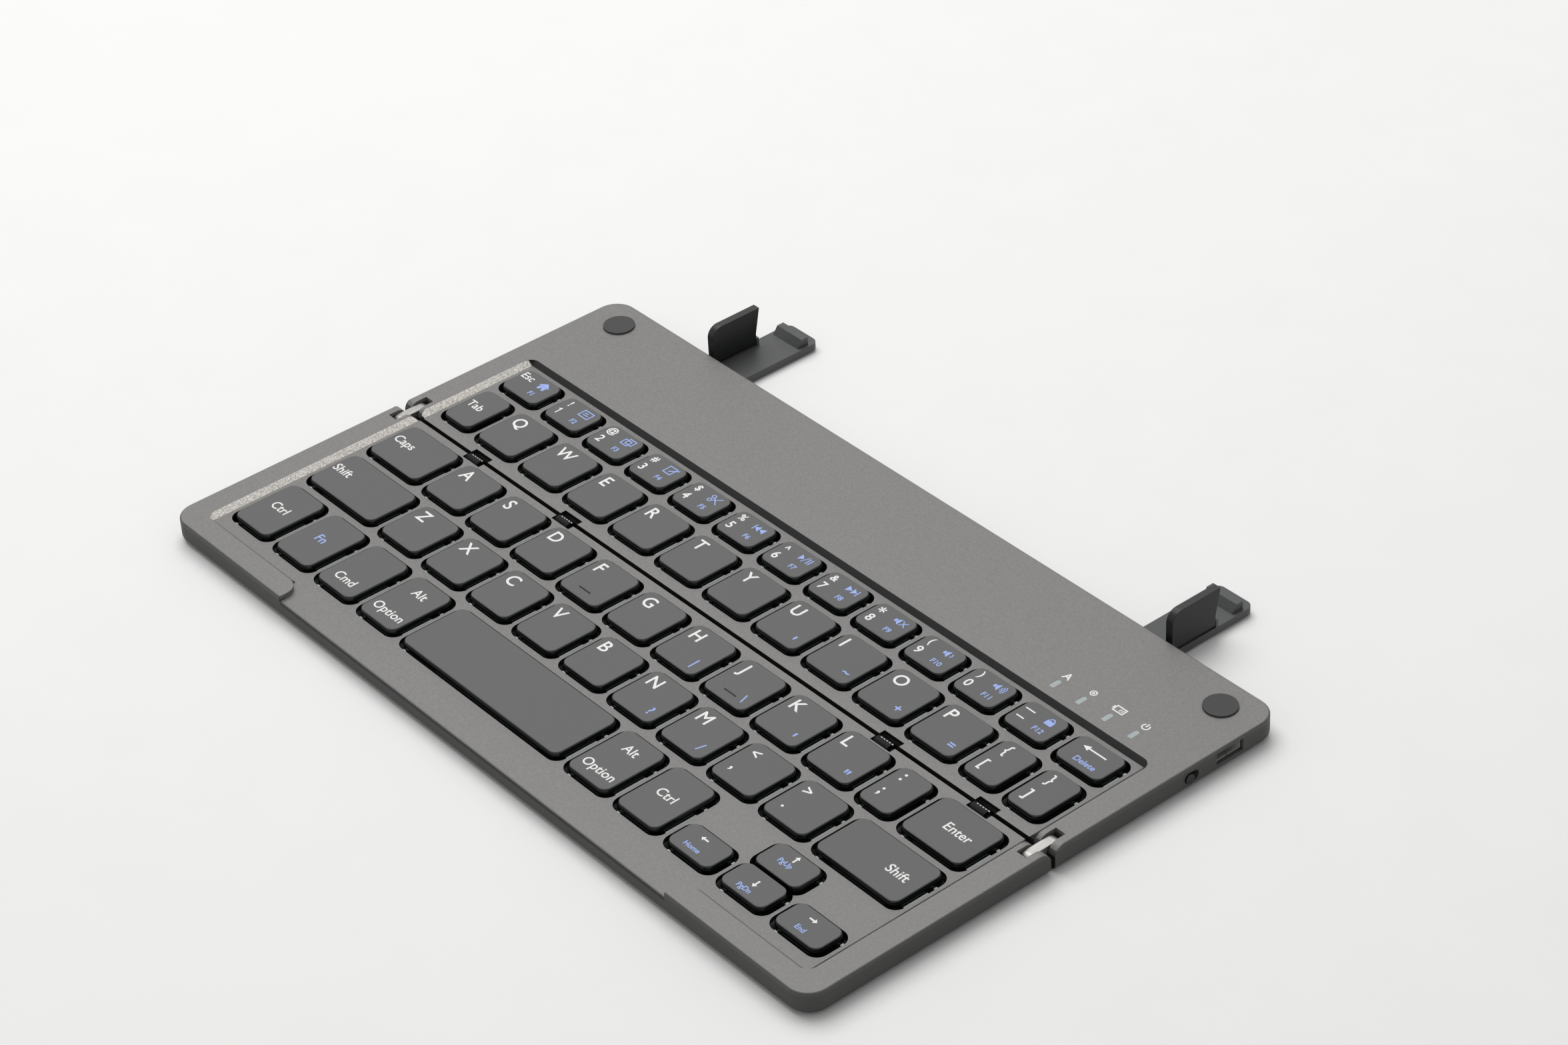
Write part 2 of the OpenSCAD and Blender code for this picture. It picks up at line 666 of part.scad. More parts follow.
module front_top_cover() {
    color("#868684") mirror([0, 1, 0]) difference() {
        union() {
            difference() {
                top_blank();
                translate([0, 0, z_deck_under - cut]) linear_extrude(body_t + 2 * cut)
                    translate([-front_low_half, inner_y - fit - cut]) square([2 * front_low_half,
                        half_d]);
            }
            translate([-front_low_half, inner_y - 2 * cut - fit, z_deck_under])
                cube([2 * front_low_half, half_d - inner_y + 2 * cut + fit, deck_t]);
        }
        deck_well(front_deck_y, front_bevel_w);
        translate([0, 0, z_deck]) linear_extrude(body_t) front_low_shape();
        key_wells(front_keys, well_back, well_front);
        link_slots();
        rim_end_cut();
        barrel_cuts();
    }
}

// The lowered stretch of the front edge, with its round ends
module front_low_shape() {
    translate([-front_low_half, front_deck_y])
        square([2 * front_low_half, front_rim_d + front_bevel_w + cut]);
    for (side = [0, 1]) mirror([side, 0])
        translate([front_low_half, front_rim_y]) difference() {
            translate([-cut, -front_bevel_w])
                square([front_low_r + cut, front_low_r + front_bevel_w]);
            translate([front_low_r, front_low_r]) circle(front_low_r);
            translate([0, front_low_r]) square(front_low_r);
        }
}

// Lower cover of one half, without what only one half has
module tray_blank() {
    difference() {
        translate([0, 0, z_bottom]) edged_slab(z_lip - z_bottom, bottom_round);
        difference() {
            translate([0, 0, z_floor]) linear_extrude(body_t)
                far_rounded(inner_x, y_near + wall_t, inner_y, corner_r - wall_t);
            for (side = [0, 1]) mirror([side, 0, 0])
                translate([block_x0, 0, 0]) cube([half_w, block_d, body_t * 2]);
            barrel_pockets();
        }
        translate([-block_x0 + fit, -cut, z_deck_under])
            cube([2 * (block_x0 - fit), wall_t + y_near + 2 * cut, body_t]);
        link_slots();
        rim_end_cut();
        pin_seats();
        barrel_cuts();
        at_feet() translate([0, 0, z_bottom - cut]) cylinder(h = foot_seat + cut, r = foot_r);
    }
}

// Room of one stand arm in the rear lower cover, grown by the thickness of its walls
module arm_recess(grow_side, grow_top) {
    for (side = [0, 1]) mirror([side, 0, 0])
        translate([arm_inner_x - arm_gap - grow_side, recess_y - grow_side, z_bottom])
            cube([arm_w + 2 * (arm_gap + grow_side), half_d - recess_y + grow_side + cut,
                z_roof - z_bottom + grow_top]);
}

module rear_bottom_cover() {
    color("#4a4a49") difference() {
        union() {
            tray_blank();
            intersection() {
                arm_recess(recess_wall, roof_t);
                translate([0, 0, z_bottom]) linear_extrude(body_t)
                    far_rounded(half_w - cut, y_near, inner_y + wall_t / 2, corner_r - cut);
            }
            for (x = [board_x0 + post_inset, board_x0 + board_w - post_inset],
                y = [board_y0 + post_inset, board_y0 + board_d - post_inset])
                translate([x, y, z_floor]) cylinder(h = z_board - z_floor, r = post_r);
        }
        translate([0, 0, -cut]) arm_recess(0, cut);
        arm_pin_holes();
        at_screws() screw_shape(0);
        translate([inner_x - cut, socket_y - socket_w / 2, z_socket - socket_h / 2])
            cube([wall_t + 2 * cut, socket_w, socket_h + cut]);
        switch_slot();
    }
}

// Seats of the stand arms' pins
module arm_pin_holes() {
    for (side = [0, 1]) mirror([side, 0, 0]) arm_pin();
}

module arm_pin() {
    translate([arm_inner_x - arm_gap - recess_wall / 2, arm_y, z_arm_pin]) rotate([0, 90, 0])
        cylinder(h = arm_w + 2 * arm_gap + recess_wall, r = pin_r);
}

// The slot that the switch knob slides in
module switch_slot() {
    translate([inner_x - cut, switch_y, z_switch]) rotate([90, 0, 90])
        linear_extrude(wall_t + 2 * cut) {
            for (end = [-1, 1]) translate([end * switch_travel / 2, 0])
                circle(switch_r + switch_gap);
            translate([-switch_travel / 2, -switch_r - switch_gap])
                square([switch_travel, 2 * (switch_r + switch_gap)]);
        }
}

module front_bottom_cover() {
    color("#4a4a49") mirror([0, 1, 0]) difference() {
        tray_blank();
        translate([-front_low_half, inner_y - 2 * cut, z_deck_under])
            cube([2 * front_low_half, half_d, body_t]);
    }
}

// A key cap: crown, wider skirt, hollow underside and stem
module cap(key) {
    w = key[3];
    d = key[4];
    z_skirt = z_key - key_crown;
    z_cap = z_sheet + key_travel + skirt_gap;
    z_stem = z_sheet + key_travel + press_gap;
    translate([key[1], key[2], 0]) {
        difference() {
            union() {
                translate([0, 0, z_skirt]) linear_extrude(key_crown) rounded(w, d, key_r);
                translate([-key_flare, -key_flare, z_cap]) linear_extrude(z_skirt - z_cap)
                    rounded(w + 2 * key_flare, d + 2 * key_flare, key_r + key_flare);
            }
            translate([key_wall, key_wall, z_cap - cut])
                cube([w - 2 * key_wall, d - 2 * key_wall, z_key - key_wall - z_cap + cut]);
        }
        translate([w / 2, d / 2, z_stem])
            cylinder(h = z_key - key_wall / 2 - z_stem, r = stem_r);
    }
}

module number_row_keys() {
    color("#646563") for (key = number_keys) cap(key);
}

module tab_row_keys() {
    color("#646563") for (key = tab_keys) cap(key);
}

module front_key(key) {
    color("#646563") mirror([0, 1, 0]) cap(key);
}

// Rubber sheet with a collar under each key
module dome_sheet(keys, y1) {
    y0 = barrel_cut_d + pocket_wall + sheet_gap;
    collar_h = z_key - key_wall - key_travel - press_gap - z_sheet;
    color("#8d9294") difference() {
        union() {
            translate([-deck_x, y0, z_floor]) cube([2 * deck_x, y1 - y0, sheet_t]);
            for (key = keys)
                translate([key[1] + key[3] / 2, key[2] + key[4] / 2, z_floor])
                    cylinder(h = sheet_t + collar_h, r = collar_bore_r + collar_wall);
        }
        for (key = keys)
            translate([key[1] + key[3] / 2, key[2] + key[4] / 2, z_sheet])
                cylinder(h = collar_h + cut, r = collar_bore_r);
    }
}

module rear_dome_sheet() {
    dome_sheet(rear_keys, number_y + number_d);
}

module front_dome_sheet() {
    mirror([0, 1, 0]) dome_sheet(front_keys, space_y + space_d);
}

module circuit_board() {
    color("#1f5a38") translate([board_x0, board_y0, z_board]) cube([board_w, board_d, board_t]);
}

module battery() {
    color("#a9abb0") translate([-battery_w / 2, inner_y - battery_rear - battery_d, z_floor])
        cube([battery_w, battery_d, battery_t]);
}

module usb_port() {
    x1 = half_w - shell_sink;
    color("#c9c9c6") translate([x1 - shell_len, socket_y, z_shell]) {
        difference() {
            translate([0, -shell_w / 2, 0]) cube([shell_len, shell_w, shell_h]);
            translate([shell_t, -shell_w / 2 + shell_t, shell_t])
                cube([shell_len, shell_w - 2 * shell_t, shell_h - 2 * shell_t]);
        }
        translate([0, -tongue_w / 2, shell_h / 2])
            cube([shell_len - tongue_sink, tongue_w, tongue_t]);
    }
}

module power_switch_knob() {
    y = switch_y - switch_travel / 2;
    color("#3c3d3d") {
        translate([inner_x - fit - switch_plate_t, y, z_switch]) rotate([0, 90, 0])
            cylinder(h = wall_t + fit + switch_plate_t + switch_out, r = switch_r);
        translate([inner_x - fit - switch_plate_t, y - switch_plate_len / 2,
            z_switch - switch_plate_h / 2])
            cube([switch_plate_t, switch_plate_len, switch_plate_h]);
    }
}

module indicator_lenses() {
    last = window_x + (window_count - 1) * window_pitch;
    color("#a3adad") {
        translate([0, 0, z_guide]) linear_extrude(z_top - z_guide) window_shapes(0);
        translate([window_x - guide_end, window_y - guide_w / 2, z_guide])
            cube([last - window_x + 2 * guide_end, guide_w, z_strip_under - z_guide]);
    }
}

module corner_pads() {
    color("#4a4a4a") for (side = [-1, 1])
        translate([side * (half_w - pad_side), half_d - pad_rear, z_top - pad_seat])
            cylinder(h = pad_seat + pad_rise, r = pad_r - fit);
}

module hinge_links() {
    x0 = slot_x0 + link_side_gap;
    color("#c8c9c8") for (side = [0, 1]) mirror([side, 0, 0]) difference() {
        union() {
            translate([x0, -pivot_y, z_pivot - link_r]) cube([link_t, 2 * pivot_y, 2 * link_r]);
            for (end = [-1, 1]) translate([x0, end * pivot_y, z_pivot]) rotate([0, 90, 0])
                cylinder(h = link_t, r = link_r);
        }
        for (end = [-1, 1]) translate([x0 - cut, end * pivot_y, z_pivot]) rotate([0, 90, 0])
            cylinder(h = link_t + 2 * cut, r = pin_r + pin_fit);
    }
}

module rear_hinge_pins() {
    color("#b9bab8") pin_seats();
}

module front_hinge_pins() {
    color("#b9bab8") mirror([0, 1, 0]) pin_seats();
}

// Barrels carried by the front half, each on a tongue in its cut-out
module hinge_barrels() {
    color("#1d1e1f") for (x = barrel_x)
        translate([x - barrel_cut_w / 2 + barrel_side_gap, 0, 0]) {
        translate([0, -barrel_off, z_barrel]) rotate([0, 90, 0])
            cylinder(h = barrel_len, r = barrel_r);
        translate([0, -barrel_cut_d, z_floor])
            cube([barrel_len, barrel_cut_d - barrel_off, z_barrel - z_floor]);
        translate([0, -barrel_off, z_barrel]) rotate([0, 90, 0])
            cylinder(h = barrel_cut_w - 2 * barrel_side_gap, r = barrel_r / 2);
    }
}

// A stand arm swung out, drawn on the right
module arm() {
    heel_rise = heel_h * tan(heel_lean);
    difference() {
        union() {
            translate([arm_inner_x, arm_y, z_arm]) cube([arm_w, arm_len - arm_tip_r, arm_t]);
            translate([arm_inner_x, arm_y + arm_tip_r, z_arm]) linear_extrude(arm_t)
                rounded(arm_w, arm_len - arm_tip_r, arm_tip_r);
            translate([arm_inner_x, arm_y, z_arm_pin]) rotate([0, 90, 0])
                cylinder(h = arm_w, r = knuckle_r);
            for (y = [fin_y - ear_gap - ear_t, fin_root_end_y + ear_gap])
                translate([arm_outer_x - fin_t, y, z_arm])
                    cube([fin_t, ear_t, z_fin + fin_turn_r - z_arm - fit]);
            translate([arm_inner_x + heel_inset, 0, z_arm_top]) rotate([90, 0, 90])
                linear_extrude(arm_w - 2 * heel_inset) polygon([[heel_y, -arm_t / 2], [heel_y, 0],
                    [heel_y + heel_rise, heel_h], [heel_y + heel_d, heel_h],
                    [heel_y + heel_d, -arm_t / 2]]);
        }
        translate([arm_inner_x - cut, arm_y, z_arm_pin]) rotate([0, 90, 0])
            cylinder(h = arm_w + 2 * cut, r = pin_r + pin_fit);
        translate([fin_x, fin_root_end_y + ear_gap + ear_t + cut, z_fin]) rotate([90, 0, 0])
            cylinder(h = fin_len + 2 * (ear_t + ear_gap + cut), r = stub_r + pin_fit);
    }
}

// A fin, upright on its stubs, drawn on the right
module fin() {
    top = fin_top - z_fin;
    undercut = z_undercut - z_fin;
    translate([fin_x - fin_turn_r, 0, z_fin]) rotate([90, 0, 90]) linear_extrude(fin_t)
        union() {
            polygon([[fin_y, 0], [fin_root_end_y, 0], [fin_root_end_y, undercut],
                [fin_end_y, top], [fin_y + fin_r, top], [fin_y + fin_r, top - fin_r],
                [fin_y, top - fin_r]]);
            translate([fin_y + fin_r, top - fin_r]) circle(fin_r);
        }
    translate([fin_x, fin_root_end_y, z_fin]) rotate([90, 0, 0])
        cylinder(h = fin_root_end_y - fin_y, r = fin_turn_r);
    translate([fin_x, fin_root_end_y + ear_gap + ear_t, z_fin]) rotate([90, 0, 0])
        cylinder(h = fin_root_end_y - fin_y + 2 * (ear_gap + ear_t), r = stub_r);
}

module stand_arm_left() {
    color("#3a3b3b") mirror([1, 0, 0]) arm();
}

module stand_arm_right() {
    color("#3a3b3b") arm();
}

module stand_fin_left() {
    color("#3a3b3b") mirror([1, 0, 0]) fin();
}

module stand_fin_right() {
    color("#3a3b3b") fin();
}

module stand_arm_pins() {
    color("#b9bab8") arm_pin_holes();
}

module feet() {
    at_feet() cylinder(h = foot_h + foot_seat, r = foot_r - fit);
}

module rear_feet() {
    color("#2b2b2b") feet();
}

module front_feet() {
    color("#2b2b2b") mirror([0, 1, 0]) feet();
}

// A countersunk screw, its head flush with the lower cover's underside
module screw_shape(socket) {
    head_h = (screw_head_d - screw_d) / 2;
    translate([0, 0, z_bottom]) difference() {
        union() {
            cylinder(h = head_h, r1 = screw_head_d / 2, r2 = screw_d / 2);
            cylinder(h = screw_len, r = screw_d / 2);
        }
        if (socket > 0) for (turn = [0, 90]) rotate(turn)
            translate([-screw_d / 2, -cross_w / 2, -cut]) cube([screw_d, cross_w, cut + socket]);
    }
}

module rear_screws() {
    color("#8b8c8c") at_screws() screw_shape(cross_t);
}

placed() rear_top_cover();
placed() rear_bottom_cover();
placed() front_top_cover();
placed() front_bottom_cover();
placed() number_row_keys();
placed() tab_row_keys();
placed() rear_dome_sheet();
placed() front_dome_sheet();
placed() circuit_board();
placed() battery();
placed() usb_port();
placed() power_switch_knob();
placed() indicator_lenses();
placed() corner_pads();
placed() hinge_links();
placed() rear_hinge_pins();
placed() front_hinge_pins();
placed() hinge_barrels();
placed() stand_arm_left();
placed() stand_arm_right();
placed() stand_fin_left();
placed() stand_fin_right();
placed() stand_arm_pins();
placed() rear_feet();
placed() front_feet();
placed() rear_screws();
for (key = front_keys) placed() front_key(key);
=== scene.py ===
"""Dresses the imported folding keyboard: printed key caps, finishes, small trim and a pale stage."""

import json
import math

import bmesh
import bpy
from bpy.props import FloatProperty, FloatVectorProperty, IntProperty, PointerProperty
from mathutils import Matrix, Vector


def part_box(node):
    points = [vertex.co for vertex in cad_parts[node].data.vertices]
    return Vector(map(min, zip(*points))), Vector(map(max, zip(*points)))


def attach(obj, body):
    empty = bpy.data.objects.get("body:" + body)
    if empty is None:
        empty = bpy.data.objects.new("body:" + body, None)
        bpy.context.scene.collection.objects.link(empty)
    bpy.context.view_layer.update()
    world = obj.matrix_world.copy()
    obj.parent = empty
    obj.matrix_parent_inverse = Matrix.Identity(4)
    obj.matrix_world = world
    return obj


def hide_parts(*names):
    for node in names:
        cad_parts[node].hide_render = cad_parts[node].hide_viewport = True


bl_info = {
    "name": "Folding Keyboard",
    "version": (1, 0, 0),
    "blender": (4, 5, 0),
    "location": "View3D > Sidebar > Keyboard",
    "description": "Key caps with their print, finishes, trim and stage of a folding keyboard",
    "category": "Object",
}

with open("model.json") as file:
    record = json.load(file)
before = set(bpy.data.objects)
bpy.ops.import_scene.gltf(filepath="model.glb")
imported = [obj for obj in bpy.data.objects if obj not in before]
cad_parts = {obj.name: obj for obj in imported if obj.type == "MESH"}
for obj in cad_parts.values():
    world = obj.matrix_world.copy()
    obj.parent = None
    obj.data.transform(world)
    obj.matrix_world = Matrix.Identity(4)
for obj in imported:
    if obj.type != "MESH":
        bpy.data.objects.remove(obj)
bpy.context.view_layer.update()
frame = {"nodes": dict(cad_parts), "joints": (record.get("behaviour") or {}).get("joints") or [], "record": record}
MM = 0.001
BODY_OF = {
    node: body
    for body, nodes in frame["record"]["behaviour"]["bodies"].items()
    for node in nodes
}
PIVOT = {j["name"]: Vector(j["pos_m"]) for j in frame["joints"] if "pos_m" in j}
FOLD_Y = (PIVOT["fold_rear"].y + PIVOT["fold_front"].y) / 2

# Places on the upper covers that their painted shade and painted highlight follow
SLOPE_RISE = 1.23 * MM  # a bevel's height, from just above the deck to the rim
SIDE_BEVEL = (105.45 * MM, 106.93 * MM)  # the bevels beside the keys, from the middle
REAR_BEVEL = (32.9 * MM, 34.25 * MM)  # the bevel of the rear strip, behind the fold
FOLD_FACES = 0.57 * MM  # the faces that meet at the fold lie within this of its middle
BODY_CORNER = 5.5 * MM  # radius of the body's corners
LIP = (0.5 * MM, 0.12 * MM)  # painted shade darkens the lip between these depths inside the outline
HINGE_BARRELS = tuple(x * MM for x in (-83.2, -48.9, 62.1, 92.2))  # middles along the fold


def linear(hex_code):
    """Turns an sRGB hex colour into linear red, green and blue."""
    parts = [int(hex_code[i : i + 2], 16) / 255 for i in (1, 3, 5)]
    return tuple(p / 12.92 if p <= 0.04045 else ((p + 0.055) / 1.055) ** 2.4 for p in parts)


def colour(name, hex_code, description):
    """A colour property with its default in sRGB hex."""
    return FloatVectorProperty(
        name=name, description=description, subtype="COLOR", size=3, min=0, max=1,
        default=linear(hex_code),
    )


def length(name, millimetres, description):
    """A length property with its default in millimetres."""
    return FloatProperty(
        name=name, description=description, unit="LENGTH", min=0, precision=5,
        default=millimetres * MM,
    )


class FinishColours(bpy.types.PropertyGroup):
    """Colours of the keyboard's surfaces."""

    deck: colour("Deck", "#777674", "Gunmetal paint of both upper covers")
    walls: colour("Walls", "#484847", "Moulded lower covers, which form the side walls")
    # painted highlight: the left bevel's pale sparkling colour stands in for light reflected on it; the right
    # bevel gets painted shade instead
    bevel: colour("Left bevel", "#dad6d0", "Sparkling bevel on the left of the keys")
    # painted shade: this near black is put on the rear and right bevels, in the wells and on the faces in the fold
    gap: colour("Painted shade", "#161616", "Dark bevels, wells and the faces in the fold")
    key_top: colour("Key tops", "#565756", "Satin tops of the key caps")
    key_side: colour("Key sides", "#0c0f0f", "Glossy sides of the key caps")
    white_ink: colour("White print", "#f2f2f0", "Main legends")
    blue_ink: colour("Blue print", "#9db4f2", "Legends of the second level")
    links: colour("Hinge links", "#979693", "Brushed steel links and pins of the fold")
    # painted light and shade: arms and fins share one satin coat; the arms' colour is a lighter copy of it as
    # painted light, the fins' a much darker copy as painted shade
    arms: colour("Stand arms", "#4c4d4d", "Satin coat of the arms")
    fins: colour("Stand fins", "#161717", "Satin coat of the fins")
    pads: colour("Rubber pads", "#303030", "Round pads on the rear strip")
    lenses: colour("Indicator lenses", "#a3adad", "Milky indicator windows")
    # painted highlight: the long pale strips beside and in front of the caps stand for light reflected on their
    # glossy skirts; the short nubs are the guides' own pale tabs
    guides_and_painted_highlights: colour("Key guides and painted highlights", "#b9c1c0", "Pale guides beside the keys in their wells")


class KeycapSizes(bpy.types.PropertyGroup):
    """Shape of the key caps."""

    corner: length("Corner radius", 2.0, "Radius of a cap's corners, seen from above")
    corner_steps: IntProperty(
        name="Corner steps", description="Faces round each corner", default=6, min=2, max=12
    )
    flare: length("Skirt flare", 0.35, "How far the skirt stands out from the top's outline")
    skirt_foot: length("Skirt foot", 0.15, "Height of the skirt's edge above the stem's foot")
    slope_top: length("Slope top", 0.3, "Depth below the top at which the sides start to round")
    skirt_top: length("Skirt top", 1.15, "Depth below the top at which the sides start to lean")
    edge: length("Edge", 0.16, "How far the rounded edge takes in the flat top")
    stem_radius: length("Stem radius", 1.3, "Radius of the stem under a cap")
    number_gap: length("Number gap", 3.85, "Gap between two keys of the number row")
    key_gap: length("Key gap", 3.7, "Gap between two keys of the tab row")
    escape_width: length("Escape width", 12.7, "Width of the escape key")
    delete_width: length("Delete width", 13.3, "Width of the delete key")
    tab_width: length("Tab width", 9.6, "Width of the tab key")
    bracket_width: length("Bracket width", 9.7, "Width of each bracket key")


class GuideSizes(bpy.types.PropertyGroup):
    """Sizes of the pale guides round the caps; their long strips are painted highlights."""

    top: length("Top", 1.75, "Depth of the guides' tops below the key's top")
    foot: length("Foot", 2.3, "Depth of the guides' feet below the key's top")
    clearance: length("Clearance", 0.14, "Gap between a cap's skirt and its guides")
    side_reach: length("Side reach", 1.42, "How far the side guides reach from the key")
    front_reach: length("Front reach", 1.12, "How far the front nub reaches from the key")
    nub: length("Nub", 0.8, "Length of the short guide at the side")
    edge: length("Edge", 0.05, "Rounding of the guides' edges")


class TrimSizes(bpy.types.PropertyGroup):
    """Sizes of the ribs' painted highlights, rounded edges and indicator signs."""

    rib_pitch: length("Rib pitch", 0.85, "From one rib of a barrel to the next")
    rib_width: length("Rib width", 0.55, "Width of a rib")
    link_edge: length("Link edge", 0.25, "Rounding of the links' edges")
    arm_edge: length("Arm edge", 0.18, "Rounding of the arms' edges")
    fin_edge: length("Fin edge", 0.3, "Rounding of the fins' edges")
    knob_edge: length("Knob edge", 0.2, "Rounding of the switch knob's edges")
    first_sign: length("First sign", 73.45, "From the middle to the first indicator sign")
    sign_pitch: length("Sign pitch", 7.94, "From one indicator sign to the next")
    sign_row: length("Sign row", 41.7, "From the fold back to the indicator signs")


class PrintSizes(bpy.types.PropertyGroup):
    """Sizes of the print on the keys, in its own millimetres on the key."""

    letter: length("Letter height", 3.35, "Height of the capitals on the letter keys")
    word: length("Word height", 2.4, "Height of the capitals of the words")
    weight: length("Weight", 0.06, "How much the strokes of single signs are thickened a side")
    word_weight: length("Word weight", 0.038, "How much the strokes of words are thickened a side")
    row_sign: FloatProperty(name="Row sign size", description="Size of the number row's signs",
                            default=1.35, min=0.5, max=2)
    ink: length("Ink", 0.012, "Height of the print above the key")
    bar_length: length("Finger bar length", 3.85, "Length of the raised bars on F and J")
    bar_width: length("Finger bar width", 0.32, "Width of the raised bars on F and J")


class StageSettings(bpy.types.PropertyGroup):
    """Camera, lamps and floor."""

    camera_place: FloatVectorProperty(
        name="Camera place", description="Where the camera stands", size=3,
        subtype="TRANSLATION", unit="LENGTH", precision=5, default=(0.57624, -0.44143, 0.54266),
    )
    camera_turn: FloatVectorProperty(
        name="Camera turn", description="How the camera is turned", size=3, subtype="EULER",
        precision=4, default=tuple(math.radians(a) for a in (54.321, 2.700, 49.902)),
    )
    focal: FloatProperty(name="Focal length", description="Focal length in millimetres",
                         default=93.18, min=20, max=300)
    sky: FloatProperty(name="Room light", description="Strength of the light from all round",
                       default=0.38, min=0, max=2)
    lamp: FloatProperty(name="Lamp power", description="Power of the large soft lamp",
                        default=14.0, min=0, max=200, unit="POWER")
    lamp_size: FloatProperty(name="Lamp size", description="Side of the large soft lamp",
                             default=1.2, min=0.1, max=4, unit="LENGTH")
    floor: colour("Floor", "#f7f7f6", "Colour of the floor")


class KeyboardSettings(bpy.types.PropertyGroup):
    """All settings of the keyboard."""

    colours: PointerProperty(type=FinishColours)
    caps: PointerProperty(type=KeycapSizes)
    guides: PointerProperty(type=GuideSizes)
    trim: PointerProperty(type=TrimSizes)
    legends: PointerProperty(type=PrintSizes)
    stage: PointerProperty(type=StageSettings)


# ---- Finishes ----


def add(tree, kind, inputs=None, **settings):
    """Adds a node with its settings; inputs holds values or sockets by name or number."""
    made = tree.nodes.new(kind)
    for name, value in settings.items():
        setattr(made, name, value)
    for name, value in (inputs or {}).items():
        if isinstance(value, bpy.types.NodeSocket):
            tree.links.new(value, made.inputs[name])
        else:
            made.inputs[name].default_value = value
    return made


def shaded(rgb, factor):
    """A linear colour made lighter or darker, with its alpha."""
    return (*(min(1.0, c * factor) for c in rgb), 1.0)


def finish(name, rgb, spread, grain, roughness, metallic=0.0, relief=0.0, coat=0.0,
           specular=0.5, cells=False):
    """Makes a material whose colour, gloss and relief vary in grains.

    spread is the share by which the colour varies either way, grain the grains' size in
    millimetres along x, y and z, and relief their height in millimetres.
    """
    material = bpy.data.materials.new(name)
    material.use_nodes = True
    tree = material.node_tree
    tree.nodes.clear()
    place = add(tree, "ShaderNodeTexCoord")
    mapped = add(tree, "ShaderNodeMapping", {"Vector": place.outputs["Object"],
                 "Scale": tuple(1 / (g * MM) for g in grain)})
    if cells:
        texture = add(tree, "ShaderNodeTexVoronoi", {"Vector": mapped.outputs[0], "Scale": 1.0})
        split = add(tree, "ShaderNodeSeparateColor", {"Color": texture.outputs["Color"]})
        level = split.outputs["Red"]
    else:
        texture = add(tree, "ShaderNodeTexNoise",
                      {"Vector": mapped.outputs[0], "Scale": 1.0, "Detail": 3.0})
        level = add(tree, "ShaderNodeMapRange", {"Value": texture.outputs[0], "From Min": 0.3,
                    "From Max": 0.7}).outputs[0]
    mixed = add(tree, "ShaderNodeMix", {0: level, 6: shaded(rgb, 1 - spread),
                7: shaded(rgb, 1 + spread)}, data_type="RGBA", label="grain colour")
    gloss = add(tree, "ShaderNodeMapRange", {"Value": level, "To Min": roughness - 0.04,
                "To Max": roughness + 0.04})
    bump = add(tree, "ShaderNodeBump", {"Height": level, "Strength": 1.0,
               "Distance": relief * MM})
    shader = add(tree, "ShaderNodeBsdfPrincipled", {"Base Color": mixed.outputs[2],
                 "Roughness": gloss.outputs[0], "Normal": bump.outputs[0],
                 "Metallic": metallic, "Specular IOR Level": specular,
                 "Coat Weight": coat, "Coat Roughness": 0.12})
    add(tree, "ShaderNodeOutputMaterial", {"Surface": shader.outputs[0]})
    return material


def band(tree, value, low, high):
    """A mask that is 1 where value is between low and high."""
    above = add(tree, "ShaderNodeMath", {0: value, 1: low}, operation="GREATER_THAN")
    below = add(tree, "ShaderNodeMath", {0: value, 1: high}, operation="LESS_THAN")
    return add(tree, "ShaderNodeMath", {0: above.outputs[0], 1: below.outputs[0]},
               operation="MULTIPLY").outputs[0]


def mask_of(tree, masks):
    """The product of several masks."""
    made = masks[0]
    for mask in masks[1:]:
        made = add(tree, "ShaderNodeMath", {0: made, 1: mask}, operation="MULTIPLY").outputs[0]
    return made


def fold_edge(tree, along):
    """A mask of the two faces that meet at the fold."""
    return band(tree, along, FOLD_Y - FOLD_FACES, FOLD_Y + FOLD_FACES)


def moulded_walls(colours):
    """ABS, moulded against a spark-eroded tool: matt, grain of 0.4 mm, near black in the fold as painted shade."""
    material = finish("moulded_abs_dark_grey_painted_fold_shade", colours.walls, 0.08, (0.4, 0.4, 0.4), 0.6,
                      relief=0.006, specular=0.25)
    tree = material.node_tree
    shader = next(n for n in tree.nodes if n.type == "BSDF_PRINCIPLED")
    grains = next(n for n in tree.nodes if n.label == "grain colour").outputs[2]
    split = add(tree, "ShaderNodeSeparateXYZ",
                {0: add(tree, "ShaderNodeTexCoord").outputs["Object"]})
    # painted shade: the faces in the fold go near black
    mixed = add(tree, "ShaderNodeMix", {0: fold_edge(tree, split.outputs[1]), 6: grains,
                7: shaded(colours.gap, 1)}, data_type="RGBA")
    tree.links.new(mixed.outputs[2], shader.inputs["Base Color"])
    return material


